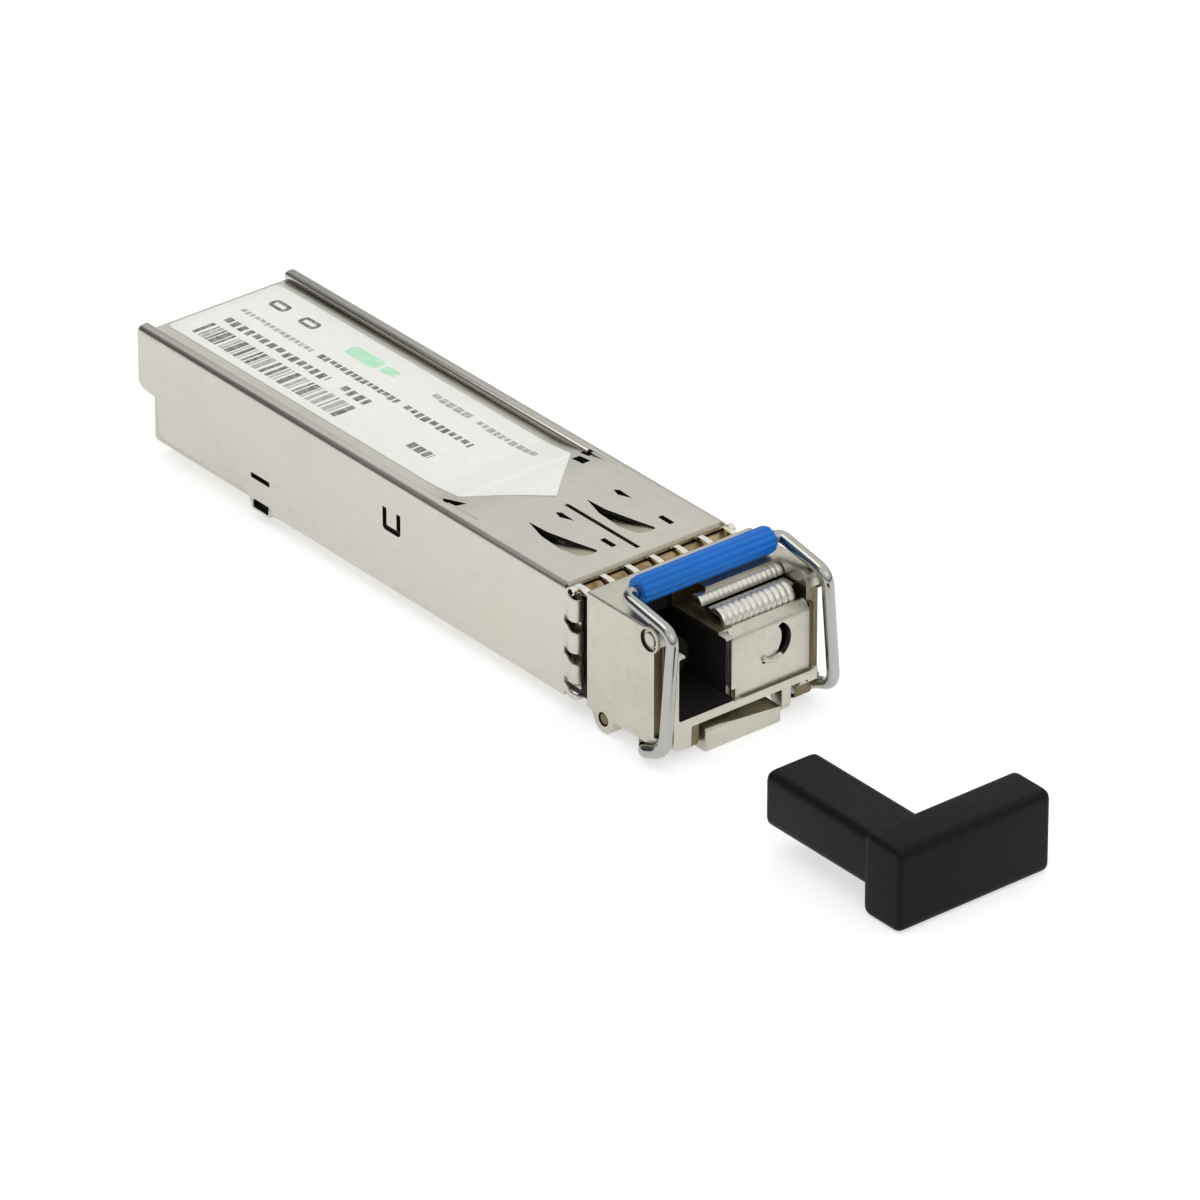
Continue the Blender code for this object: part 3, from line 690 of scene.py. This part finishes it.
def build_cover():
    sheet, ease = 0.33, 0.04
    steps = 20
    climb = [RAMP[0] + (RAMP[1] - RAMP[0]) * i / steps for i in range(steps + 1)]
    rings = []
    for x in (COVER_X[0], *climb, PLATE_BACK - 0.003):
        half = COVER_Y[1] - 0.02 if x < RAIL_END + 0.4 else HALF - RAIL_WIDTH + 0.03
        high = deck(x)
        section = [(-half, high - sheet), (-half, high - ease), (-half + ease, high), (half - ease, high)]
        section += [(half, high - ease), (half, high - sheet)]
        rings.append([place(x, y, z) for y, z in section])
    cover = loft("cover_plate", rings, materials["nickel_sheet"])
    sunk = (COVER_Z[1] - 0.22, 10.0)
    # The walls of the notch and the reliefs are painted black shadow.
    holes = [
        solid("rail_notch", RAIL_NOTCH, "z", sunk, black_insert_and_shadow, 0.0),
        slab("relief", (RAIL_END - 0.3, RAIL_END + 0.6), (5.35, 6.4), sunk, black_insert_and_shadow, 0.05, 0.0),
        slab("relief", (RAIL_END + 0.1, RAIL_END + 1.25), (4.35, 5.0), sunk, black_insert_and_shadow, 0.05, 0.0),
    ]
    carve(cover, *holes)
    settle(soften(cover), "housing", "nickel_sheet", "top_cover")


# Label.


def label_point(x, y, lift):
    return place(x, y, deck(x) + lift)


def build_label():
    """Label stock whose pointed front end climbs the ramp and lies on the front plate."""
    half = LABEL_Y[1]
    middle = 0.2
    back, tip = LABEL_X[0], PLATE_BACK + 0.75
    taper = 0.9
    point = taper * half
    stations = [back, *[back + 0.25 + 0.6 * i for i in range(60)]]
    stations = [x for x in stations if x < tip - point - 0.05]
    stations += [tip - point + point * i / 16 for i in range(17)]
    rings = []
    for x in stations:
        width = half - 0.25 if x < back + 0.2 else min(half, (tip - x) / taper + 0.04)
        section = [(-width, 0.0), (-width, 0.03), (-width * 0.99, 0.05)]
        section += [(width * 0.99, 0.05), (width, 0.03), (width, 0.0)]
        rings.append([label_point(x, y * 0.98 + middle, lift) for y, lift in section])
    label = loft("label_sheet", rings, materials["label_paper"])
    settle(soften(label), "housing", "label_paper", "product_label")


def build_print():
    """Generic bars, rows of uneven blocks, two rings and a green mark in place of the label's print."""
    random.seed(7)
    marks = []

    def mark(x, y, surface):
        z = [label_point(end, 0, lift).z / MM for end, lift in zip(x, PRINT_LIFT)]
        marks.append(slab("mark", x, y, z, surface, 0.0, 0.0))

    def dashes(start, end, y, widths, surface, gap=0.12):
        """A row of blocks with uneven widths and heights, in place of a line of print."""
        x = start
        while x < end:
            width = random.uniform(*widths)
            cut = random.choice((0.0, 0.0, 0.15, 0.25)) * (y[1] - y[0])
            mark((x, min(end, x + width)), (y[0] + cut, y[1]), surface)
            x += width + random.uniform(gap, 1.6 * gap)

    x = 2.1
    while x < 17.3:
        width = random.choice((0.14, 0.22, 0.34, 0.5))
        mark((x, x + width), (-3.75, -1.9), random.choice((print_black, print_black, print_grey)))
        x += width + random.choice((0.12, 0.16, 0.24, 0.3))
    dashes(2.2, 13.2, (-1.3, -0.55), (0.42, 0.6), print_black, 0.2)
    dashes(14.7, 17.5, (-1.3, -0.5), (0.45, 0.7), print_black, 0.2)
    dashes(1.8, 9.4, (0.5, 0.95), (0.25, 0.5), print_grey)
    dashes(10.2, 18.6, (0.45, 1.02), (0.28, 0.5), print_black)
    dashes(19.4, 26.4, (0.35, 1.0), (0.35, 0.6), print_black, 0.16)
    dashes(23.6, 25.9, (-2.6, -1.85), (0.45, 0.7), print_black)
    dashes(19.3, 23.4, (2.85, 3.45), (0.5, 0.9), print_grey)
    dashes(24.1, 30.2, (2.75, 3.3), (0.3, 0.6), print_grey)
    for x, y in ((3.0, 3.0), (6.2, 3.0)):
        outline = rounded(rectangle((x - 0.85, x + 0.85), (y - 0.5, y + 0.5)), 0.4)
        low = label_point(x, 0, PRINT_LIFT[0]).z / MM
        ring = solid("mark", outline, "z", (low, low + 0.01), print_black, 0.0)
        hollow = solid("hollow", inset(outline, 0.3), "z", (low - 1.0, low + 1.0), print_black, 0.0)
        marks.append(carve(ring, hollow))
    level = [COVER_Z[1] + lift for lift in PRINT_LIFT]
    marks.append(slab("mark", (10.7, 14.0), (2.3, 3.5), level, print_green, 0.4, 0.0))
    marks.append(slab("mark", (14.25, 15.7), (2.5, 3.35), level, print_green, 0.3, 0.0))
    settle(gather("label_print", marks), "housing", "label_paper")


# Spring collar.


def build_collar():
    """Spring band over the neck: an arched strip with six windows, over a bronze inner strip whose speckle also
    paints the shade and highlights seen through the windows.
    """
    metal = materials["spring_sheet"]
    back, front = COLLAR_X
    crown = COLLAR_Z[1]
    half = COLLAR_Y[1]
    arch = [
        (front, crown - 0.35),
        (front - 0.25, crown - 0.06),
        (front - 0.9, crown + 0.08),
        (back + 0.35, crown + 0.06),
        (back + 0.08, crown - 0.12),
        (back - 0.25, crown - 0.3),
    ]
    band = solid("spring_collar", bent_sheet(arch, 0.15), "y", (-half, half), metal, 0.05)
    window_x, window_z = (back + 0.3, front - 0.22), (crown - 1.0, crown + 1.0)
    windows = []
    for index in range(6):
        y = -5.02 + 2.02 * index
        windows.append(slab("window", window_x, (y - 0.8, y + 0.8), window_z, metal, 0.2, 0.0))
    carve(band, *windows)
    parts = [band]
    curl = [
        (back + 0.1, crown - 0.5),
        (back + 0.25, crown + 0.05),
        (back + 0.75, crown + 0.12),
        (back + 1.0, crown - 0.25),
        (back + 0.7, crown - 0.5),
    ]
    skirt_x, skirt_z = (back + 0.05, FINGER_TIP - 0.95), (COLLAR_Z[0] + 0.1, crown - 0.2)
    for side in (-1, 1):
        curl_y = mirrored(side, half - 0.02, half + 0.42)
        parts.append(solid("curl", bent_sheet(curl, -0.12), "y", curl_y, metal, 0.04))
        skirt_y = mirrored(side, half - 0.16, half - 0.02)
        parts.append(slab("skirt", skirt_x, skirt_y, skirt_z, metal, 0.0, 0.03))
    wave = [
        (back + 0.05, crown - 0.32),
        (back + 0.55, crown - 0.2),
        (back + 1.15, crown - 0.38),
        (front - 0.4, crown - 0.26),
        (front - 0.05, crown - 0.32),
    ]
    # The inner strip's speckle paints shade and highlights into the windows.
    parts.append(solid("liner", bent_sheet(wave, -0.1), "y", (-half + 0.2, half - 0.2), bronze_and_shade, 0.02))
    settle(soften(gather("spring_collar", parts)), "housing", "spring_sheet", "emi_spring_collar")


# Die-cast nose and tray.


def nose_outline():
    """The nose's side view, with its upper front edge rounded and its lower one cut back."""
    radius = 0.75
    upper = rounded([(NOSE_BACK, 3.0), (NOSE_BACK, NOSE_TOP), (50.0, NOSE_TOP)], 0.22, closed=False)[1:-1]
    front = arc((53.9, NOSE_TOP - radius), radius, 90, -90)
    lower = [(54.65, 5.0), (54.62, 1.0), (54.0, NOSE_BOTTOM), (NOSE_BACK, NOSE_BOTTOM), (NOSE_BACK, 2.0)]
    return [(NOSE_BACK, 2.0), *upper, *front, *rounded(lower, 0.3, closed=False)[1:-1]]


def pin_lug_outline():
    lower = arc(ROCKER_AXIS, 1.0, 212, 148, 14)
    return [(NOSE_BACK + 0.02, 1.6), *lower, (50.45, 1.6)]


def hanging_lug(centre, top, steps):
    """Outline of a lug that hangs from a level and ends in a half round about its centre."""
    radius = 0.6
    lower = arc(centre, radius, 180, 180, steps)
    return [(centre[0] - radius, top), *lower, (centre[0] + radius, top)]


def box_cut(name, x, y, z, surface, reach):
    """A cutter along x with rounded corners, seen from the front."""
    return solid(name, rounded(rectangle(y, z), reach), "x", x, surface, 0.0)


def nose_lips(metal):
    """The raised rims of the front face, the neck behind it and the lugs that hold the rocker's pin."""
    lip_x = (54.2, NOSE_FRONT)
    port_lip = rounded(rectangle((-6.0, -1.1), (NOSE_BOTTOM, 7.15)), 0.15)
    yield solid("port_lip", port_lip, "x", lip_x, metal, 0.1)
    # The bay's rim is painted shade.
    bay_lip = rounded(rectangle((5.2, 5.92), (CAVITY_ROOF, 7.0)), 0.15)
    yield solid("bay_lip", bay_lip, "x", (54.2, 54.95), painted_shade, 0.1)
    sill_lip = rounded(rectangle((-5.9, 5.92), (1.55, BAY_FLOOR + 0.02)), 0.12)
    yield solid("sill_lip", sill_lip, "x", lip_x, metal, 0.08)
    # The neck under the collar is painted black shadow.
    yield slab("neck", (44.6, NOSE_BACK + 0.3), (-6.0, 6.0), (0.4, 7.7), black_insert_and_shadow, 0.0, 0.05)
    for side in (-1, 1):
        cheek = mirrored(side, 5.75, NOSE_HALF - 0.015)
        yield solid("pin_lug", pin_lug_outline(), "y", cheek, metal, 0.08)


def nose_cuts(metal):
    """All that is cut out of the nose; each cutter's material goes onto the faces it cuts. The dark brown cutters
    paint shade into the hollows, recesses and holes; the black ones stand for the port's black plastic insert and
    paint shadow into the other openings.
    """
    port_top = PORT_Z[1]
    ledge_y = (PORT_Y[0] - 0.1, PORT_Y[1] + 0.55)
    yield box_cut("port", (PORT_BACK, AHEAD), PORT_Y, PORT_Z, black_insert_and_shadow, 0.2)
    yield box_cut("latch_slot", (49.6, AHEAD), (-5.1, -1.75), (port_top - 0.5, 12.0), black_insert_and_shadow, 0.15)
    yield box_cut("ledge_cut", (50.0, AHEAD), ledge_y, (port_top + 0.32, 12.0), painted_shade, 0.1)
    yield box_cut("bay", (PORT_BACK, AHEAD), BAY_Y, (BAY_FLOOR, 8.3), painted_shade, 0.25)
    yield box_cut("bay_mouth", (51.9, AHEAD), (-0.6, BAY_Y[1]), (7.0, 12.0), metal, 0.15)
    yield box_cut("cavity", (46.0, AHEAD), (-5.1, 5.1), (-2.0, CAVITY_ROOF), painted_shade, 0.2)
    yield box_cut("groove", (40.0, 47.0), *GROOVE, painted_shade, 0.1)
    yield box_cut("neck_bore", (40.0, 46.0), (-5.6, 5.6), (1.2, 7.2), painted_shade, 0.2)
    yield rod("barrel_hole", "x", (-3.3, 4.75), 1.6, (43.0, 47.0), black_insert_and_shadow, 0.0)
    yield rod("pin_holes", "y", ROCKER_AXIS, 0.5, ACROSS, painted_shade, 0.0)
    for y in ((-7.2, -6.02), (5.9, 7.2)):
        yield slab("cheek_recess", (54.3, 57.0), y, (1.3, 7.9), painted_shade, 0.1, 0.0)
    yield slab("rear_trim", (40.0, 44.9), ACROSS, (-3.0, 12.0), metal, 0.0, 0.0)


def nose_fittings(metal):
    """Guide lugs, bail ears and ringed bosses on both sides, with the stop block and the corner panel."""
    for side in (-1, 1):
        guide = hanging_lug((54.2, 0.2), 2.0, 12)
        # The near guide lug is painted shade.
        yield solid("guide_lug", guide, "y", mirrored(side, 3.42, 4.2), metal if side > 0 else painted_shade, 0.08)
        ear = hanging_lug((BAIL_X, BAIL_Z), 1.4, 14)
        # The ears are painted shade.
        yield solid("ear", ear, "y", mirrored(side, 5.3, NOSE_HALF - 0.02), painted_shade, 0.1)
        boss = rod("boss", "y", BOSS, 0.93, mirrored(side, NOSE_HALF - 0.1, NOSE_HALF + 0.2), metal, 0.08)
        groove_y = mirrored(side, NOSE_HALF, NOSE_HALF + 0.5)
        # The groove's walls are painted black shadow.
        yield carve(boss, rod("boss_groove", "y", BOSS, 0.78, groove_y, black_insert_and_shadow, 0.0, 28))
    # The stop block is painted shade.
    yield slab("stop_block", (52.9, 54.3), (-4.7, -3.16), (-0.3, 1.9), painted_shade, 0.0, 0.05)
    panel = rounded([(-5.78, 0.35), (-4.55, 0.35), (-4.5, 2.0), (-5.78, 2.0)], 0.15)
    yield solid("corner_panel", panel, "x", (54.3, NOSE_FRONT), metal, 0.08)


def build_nose():
    metal = materials["plated_zinc"]
    nose = solid("nose_casting", nose_outline(), "y", (-NOSE_HALF, NOSE_HALF), metal, 0.14, 4)
    weld(nose, *nose_lips(metal))
    carve(nose, *nose_cuts(metal))
    weld(nose, *nose_fittings(metal))
    centre = (BOSS[0] + 0.05, BOSS[1] + 0.04)
    centres = []
    for side in (-1, 1):
        centre_y = mirrored(side, NOSE_HALF - 0.05, NOSE_HALF + 0.19)
        centres.append(rod("boss_centre", "y", centre, 0.5, centre_y, metal, 0.12))
    weld(nose, *centres)
    # The walls of the bail holes are painted shade.
    carve(nose, rod("bail_holes", "y", (BAIL_X, BAIL_Z), WIRE_R + 0.09, ACROSS, painted_shade, 0.0))
    settle(soften(nose), "housing", "plated_zinc", "nose_housing")


def build_tray():
    """The tray that runs back from the nose under the board."""
    metal = materials["plated_zinc"]
    outer, ledge, inner = 6.28, 4.8, 4.0
    section = [(outer - 0.38, 0.0, 0.2), (outer, 0.38, 0.2), (outer, 3.4), (ledge, 3.4)]
    section += [(ledge, 2.2), (inner, 2.2), (inner, 0.9)]
    section += [(-y, *rest) for y, *rest in reversed(section)]
    tray = solid("chassis_tray", rounded(section, 0.1, 3), "x", (1.2, 44.8), metal, 0.06)
    # The cut faces of the bay, the slot pocket and the groove are painted shade and black shadow.
    pockets = [
        slab("optics_bay", (32.0, 46.0), (-5.9, 5.9), (1.2, 9.0), painted_shade, 0.2, 0.0),
        slab("slot_pocket", (11.6, 15.0), ACROSS, (1.5, 9.0), black_insert_and_shadow, 0.0, 0.0),
        slab("groove", (41.8, 46.0), *GROOVE, painted_shade, 0.1, 0.0),
    ]
    carve(tray, *pockets)
    # Black slabs behind the side slots: painted shadow.
    shade_backing = []
    for side in (-1, 1):
        y = mirrored(side, 5.8, 6.37)
        shade_backing.append(slab("shade_backing", (11.9, 14.9), y, (0.03, 1.2), black_insert_and_shadow, 0.0, 0.0))
    weld(tray, *shade_backing)
    settle(soften(tray), "housing", "plated_zinc")


# Blanking cover.


def ribbed_roll(name, y, centre, radius, start, turn, ribs, depth, surface):
    """A rolled sheet edge whose outer face carries rounded ribs side by side along y."""
    per_rib = 8
    count = ribs * per_rib
    rings = []
    for i in range(count + 1):
        swell = depth * abs(math.sin(math.pi * i / per_rib))
        level = y[0] + (y[1] - y[0]) * i / count
        outer = arc(centre, radius + swell, start, turn, 10)
        inner = arc(centre, radius - 0.3, start + turn, -turn, 10)
        rings.append([place(px, level, pz) for px, pz in outer + inner])
    return soften(loft(name, rings, surface), 60)


def tilt_about(centre):
    """Turns a cutter about a point so that it bites deeper at one side."""
    turn = Matrix.Rotation(math.radians(7.0), 4, "Z") @ Matrix.Rotation(math.radians(3.0), 4, "Y")
    return Matrix.Translation(centre) @ turn @ Matrix.Translation(-centre)


def build_panel():
    """Blanking panel: a dimpled plate, and two rolled edges that step back above it."""
    metal = materials["plated_zinc"]
    near, far = PANEL_Y
    back, face = 54.72, PANEL_X[1]
    profile = [(back, PANEL_Z[0]), (face, PANEL_Z[0]), (face, 6.75, 0.3)]
    profile += [(54.55, 7.35, 0.15), (54.3, 7.2, 0.12), (back, 6.6, 0.12)]
    plate = solid("blanking_panel", rounded(profile, 0.13), "y", (near, far), metal, 0.08, 3)
    centre = (2.45, 5.35)
    dish = rod("dish", "x", centre, 1.35, (face - 0.02, 56.5), metal, 0.0, 48)
    dish.data.transform(tilt_about(place(face, *centre)))
    crescent = arc(centre, 1.4, -66, 126, 16)
    crescent += arc((centre[0] - 0.72, centre[1] + 0.12), 1.4, 42, -90, 16)
    # The crescent slit's walls are painted black shadow.
    slit = solid("crescent", crescent, "x", (54.0, 56.0), black_insert_and_shadow, 0.0)
    # The dot's pit is painted shade.
    dot = rod("dot", "x", (1.62, 4.22), 0.17, (54.9, 56.0), painted_shade, 0.0)
    corner = slab("corner", (54.0, 56.0), (near - 0.5, near + 0.3), (1.0, 3.1), metal, 0.0, 0.0)
    carve(plate, dish, slit, dot, corner)
    ridge = [place(face, y, z) for y, z in arc((centre[0] - 0.05, centre[1] + 0.1), 1.28, 228, 70, 12)]
    lower_y, upper_y = (near + 0.05, 4.85), (near - 0.3, far + 0.02)
    parts = [
        plate,
        tube("ridge", ridge, 0.22 * MM, metal, 12),
        # Both rolls take the lighter copy of the zinc: painted light.
        ribbed_roll("lower_roll", lower_y, (53.4, 7.32), 0.92, -25, 135, 12, 0.06, lit_casting),
        ribbed_roll("upper_roll", upper_y, (51.9, 8.12), 0.56, 0, 150, 17, 0.03, lit_casting),
        slab("web", (52.6, 53.6), (near + 0.1, 5.3), (7.75, 8.02), metal, 0.0, 0.05),
    ]
    settle(soften(gather("blanking_panel", parts), 45), "housing", "plated_zinc", "blanking_cover")


# Latch.


def build_bail():
    """The wire: two pivot ends, two legs that lean inwards, and the bar across the top."""
    leg_x = WIRE_X[1] - WIRE_R
    pin_half = WIRE_Y[1] - WIRE_R
    bar_z = WIRE_Z[1] - WIRE_R
    near_side = [
        place(BAIL_X, -5.5, BAIL_Z),
        place(BAIL_X, -pin_half, BAIL_Z),
        place(leg_x, -7.0, 0.9),
        place(leg_x, -6.35, 9.2),
        place(BAR_X, -6.35, bar_z),
    ]
    corners = near_side + [Vector((p.x, -p.y, p.z)) for p in reversed(near_side)]
    reaches = [1.0, 1.0, 1.0, 0.62]
    reaches += reaches[::-1]
    path = [corners[0]]
    for before, here, after, reach in zip(corners, corners[1:], corners[2:], reaches):
        path += rounded([before, here, after], reach * MM, 9, closed=False)[1:-1]
    path.append(corners[-1])
    wire = tube("bail_loop", path, WIRE_R * MM, materials["bright_wire"], 24)
    settle(wire, "bail", "bright_wire", "bail_wire")


def build_sleeve():
    """The fluted grip on the bail's bar, drawn in at both ends."""
    flutes, per_flute, depth = 12, 6, 0.1
    length = SLEEVE_Y[1] - SLEEVE_Y[0]
    outer = (SLEEVE_Z[1] - SLEEVE_Z[0]) / 2
    end = [(0.0, 0.55), (0.0, 0.9), (0.012, 0.97), (0.03, 1.0)]
    rings = []
    for position, scale in end + [(1 - position, scale) for position, scale in reversed(end)]:
        y = SLEEVE_Y[0] + length * position
        ring = []
        for k in range(flutes * per_flute):
            angle = 2 * math.pi * k / (flutes * per_flute)
            radius = scale * (outer - depth + depth * abs(math.cos(angle * flutes / 2)))
            ring.append(place(BAR_X + radius * math.cos(angle), y, BAR_Z + radius * math.sin(angle)))
        rings.append(ring)
    sleeve = loft("grip_sleeve", rings, materials["blue_plastic"])
    settle(soften(sleeve, 28), "bail", "blue_plastic", "bail_sleeve")


def build_rocker():
    """The lever under the nose, with its latch boss at the rear and the push block in front, its top painted brown
    shade with pale flecks of painted highlight.
    """
    metal = materials["plated_zinc"]
    half = ROCKER_BOX[1][1]
    front = ROCKER_BOX[0][1]
    push = 3.1
    rear, boss_x = 42.55, 45.0
    arm = [
        (rear, 0.05, 0.12),
        (boss_x, -0.45, 0.16),
        (boss_x + 0.05, 0.05, 0.15),
        (53.4, 0.05, 0),
        (53.4, 1.05, 0),
        (50.6, 1.1, 0.4),
        (48.6, 0.75, 0.4),
        (rear, 0.75, 0.15),
    ]
    lever = solid("rocker_lever", rounded(arm), "y", (-1.3, 1.3), metal, 0.08)
    block = [(front - 1.6, -0.8), (front, -0.8, 0.22), (front, 0.85)]
    block += [(front - 0.55, 1.08), (front - 1.6, 0.95)]
    parts = [
        rod("hub", "y", ROCKER_AXIS, 1.0, (-half, half), metal, 0.12, 40),
        slab("web", (50.0, 53.85), (-push + 0.1, push - 0.1), (-0.12, 0.77), metal, 0.3, 0.1),
        solid("push_block", rounded(block, 0.2), "y", (-push, push), metal, 0.1, 3),
    ]
    weld(lever, *parts)
    # The push block's top is cut away and painted brown shade with pale flecks of painted highlight.
    slope = [(-push - 0.5, 1.02), (push + 0.5, 0.36), (push + 0.5, 3.0), (-push - 0.5, 3.0)]
    shade_patch_x, shade_patch_y = (51.5, front - 0.25), (-push + 0.12, push - 0.12)
    cuts = [
        solid("shaded_top", slope, "x", (51.5, front + 0.5), shade_and_glints, 0.0),
        slab("spring_seat", (44.95, 48.05), (-0.92, 0.92), (0.33, 3.0), metal, 0.15, 0.0),
        # The bore's wall is painted shade.
        rod("bore", "y", ROCKER_AXIS, 0.48, ACROSS, painted_shade, 0.0),
        slab("shade_patch", shade_patch_x, shade_patch_y, (0.72, 3.0), shade_and_glints, 0.1, 0.0),
    ]
    carve(lever, *cuts)
    settle(soften(lever), "rocker", "plated_zinc", "latch_rocker")


def build_pin():
    x, y = spans("rocker_pivot_pin")[:2]
    # The pin is painted shade.
    pin = rod("pivot_pin", "y", ROCKER_AXIS, (x[1] - x[0]) / 2, y, painted_shade, 0.1, 28)
    settle(soften(pin), "housing", "bright_wire", "rocker_pivot_pin")


# Board details, plug and carried-over nodes.


def build_contacts():
    """Gold edge contacts at the board's rear end, on both faces; every third one starts further in."""
    pitch, half, plating = 0.8, 0.26, 0.03
    upper = (BOARD_Z[1], BOARD_Z[1] + plating)
    lower = (BOARD_Z[0] - plating, BOARD_Z[0])
    pads = []
    for index in range(10):
        y = (index - 4.5) * pitch
        set_back = 0.2 if index % 3 == 1 else 0.0
        x = (BOARD_X[0] + 0.25 + set_back, BOARD_X[0] + 2.6)
        for z in (upper, lower):
            pads.append(slab("pad", x, (y - half, y + half), z, contact_gold, 0.1, 0.0))
    settle(gather("edge_contacts", pads), "housing", "gold_plated_can")


def build_plug():
    """The dust plug: a bored leg that fits the port, and a wider handle across its end."""
    black = materials["black_plastic"]
    leg_width, leg_height, depth = 4.35, 4.0, 3.6
    reach, ease = 0.75, 0.45
    low = PLUG_Z[1] - leg_height
    leg = rectangle((PLUG_Y[0] + 0.1, PLUG_Y[0] + leg_width), (low, PLUG_Z[1] - 0.05))
    plug = solid("plug_body", rounded(leg, reach, 6), "x", (PLUG_X[0], PLUG_X[1] - 1.2), black, ease, 5)
    handle = rounded(rectangle((PLUG_X[1] - depth, PLUG_X[1]), PLUG_Z), reach, 6)
    weld(plug, solid("handle", handle, "y", PLUG_Y, black, ease, 5))
    centre = (PLUG_Y[0] + leg_width / 2 + 0.05, (low + PLUG_Z[1]) / 2)
    carve(plug, rod("bore", "x", centre, 1.6, (PLUG_X[0] - 1.0, PLUG_X[0] + 7.0), black, 0.0, 40))
    settle(soften(plug), "dust_plug", "black_plastic", "dust_plug")


def dress_nodes():
    """Gives every carried-over CAD node its procedural material."""
    for part in frame["record"]["subparts"]:
        node = frame["nodes"][part["node"]]
        if node.hide_render:
            continue
        node.data.materials.clear()
        # The receptacle barrel is painted black shadow in place of its own metal.
        shaded = part["node"] == "receptacle_barrel"
        node.data.materials.append(black_insert_and_shadow if shaded else materials[part["material_slot"]])


# Stage, light and camera.


def add_floor():
    """A wide pale floor under the object."""
    floor_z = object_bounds()[0].z / MM
    surface = Surface("floor_paper", (0.62, 0.62, 0.62), 0.9, 0.0, 0.1)
    surface.set("Emission Color", (1.0, 1.0, 1.0, 1.0))
    surface.set("Emission Strength", 0.56)
    wide = (-3000.0, 3000.0)
    slab("floor", wide, wide, (floor_z - 5.0, floor_z), surface.material, 0.0, 0.0)


def add_studio():
    """A soft white studio, with a darker band at eye level and a dim patch over the near side's rear."""
    world = bpy.data.worlds.new("studio")
    world.use_nodes = True
    tree = world.node_tree
    background = tree.nodes["Background"]
    background.inputs["Strength"].default_value = 1.0
    direction = tree.nodes.new("ShaderNodeTexCoord")
    split = tree.nodes.new("ShaderNodeSeparateXYZ")
    ramp = tree.nodes.new("ShaderNodeValToRGB")
    tree.links.new(direction.outputs["Generated"], split.inputs["Vector"])
    tree.links.new(split.outputs["Z"], ramp.inputs["Fac"])
    flag = tree.nodes.new("ShaderNodeVectorMath")
    flag.operation = "DOT_PRODUCT"
    flag.inputs[1].default_value = Vector((-0.68, -0.45, 0.45)).normalized()
    tree.links.new(direction.outputs["Generated"], flag.inputs[0])
    edge = tree.nodes.new("ShaderNodeMapRange")
    edge.interpolation_type = "SMOOTHSTEP"
    edge.inputs["From Min"].default_value = 0.62
    edge.inputs["From Max"].default_value = 0.86
    edge.inputs["To Min"].default_value = 1.0
    edge.inputs["To Max"].default_value = 0.14
    tree.links.new(flag.outputs["Value"], edge.inputs["Value"])
    shaded = tree.nodes.new("ShaderNodeVectorMath")
    shaded.operation = "SCALE"
    tree.links.new(ramp.outputs["Color"], shaded.inputs[0])
    tree.links.new(edge.outputs["Result"], shaded.inputs["Scale"])
    tree.links.new(shaded.outputs["Vector"], background.inputs["Color"])
    levels = [(0.0, 0.30), (0.12, 0.24), (0.26, 0.75), (0.38, 1.0), (1.0, 1.04)]
    fill_ramp(ramp, [(position, (level, level, level * 0.99)) for position, level in levels])
    bpy.context.scene.world = world


def add_light(name, location, size, power):
    """A square area light that faces the frame's origin."""
    data = bpy.data.lights.new(name, "AREA")
    data.energy = power
    data.size = size
    light = bpy.data.objects.new(name, data)
    light.location = location
    light.rotation_mode = "QUATERNION"
    light.rotation_quaternion = Vector(location).to_track_quat("Z", "Y")
    bpy.context.scene.collection.objects.link(light)


# The photo's camera: angles in degrees, places in metres, lens in millimetres.
AZIMUTH = 50.92
ELEVATION = 29.35
DISTANCE = 0.700
LENS = 321.8
AIM = Vector((0.008, 0.0, 0.004))
AIM_RIGHT = 0.00793
AIM_UP = -0.00572


def add_camera():
    turn, rise = math.radians(AZIMUTH), math.radians(ELEVATION)
    back = Vector((math.sin(turn) * math.cos(rise), -math.cos(turn) * math.cos(rise), math.sin(rise)))
    right = Vector((math.cos(turn), math.sin(turn), 0.0))
    data = bpy.data.cameras.new("camera")
    data.lens = LENS
    data.sensor_width = 36.0
    data.clip_start, data.clip_end = 0.01, 10.0
    camera = bpy.data.objects.new("camera", data)
    camera.location = AIM + back * DISTANCE + right * AIM_RIGHT + back.cross(right) * AIM_UP
    camera.rotation_mode = "QUATERNION"
    camera.rotation_quaternion = back.to_track_quat("Z", "Y")
    bpy.context.scene.collection.objects.link(camera)
    bpy.context.scene.camera = camera


add_camera()
build_shell()
build_fingers()
build_cover()
build_label()
build_print()
build_collar()
build_nose()
build_tray()
build_panel()
build_bail()
build_sleeve()
build_rocker()
build_pin()
build_contacts()
build_plug()
dress_nodes()
add_floor()
add_studio()
add_light("key", (-0.25, -0.35, 0.75), 0.5, 1.5)
add_light("front_fill", (0.6, -0.1, 0.5), 0.3, 0.3)
bpy.context.scene.view_settings.view_transform = "Standard"
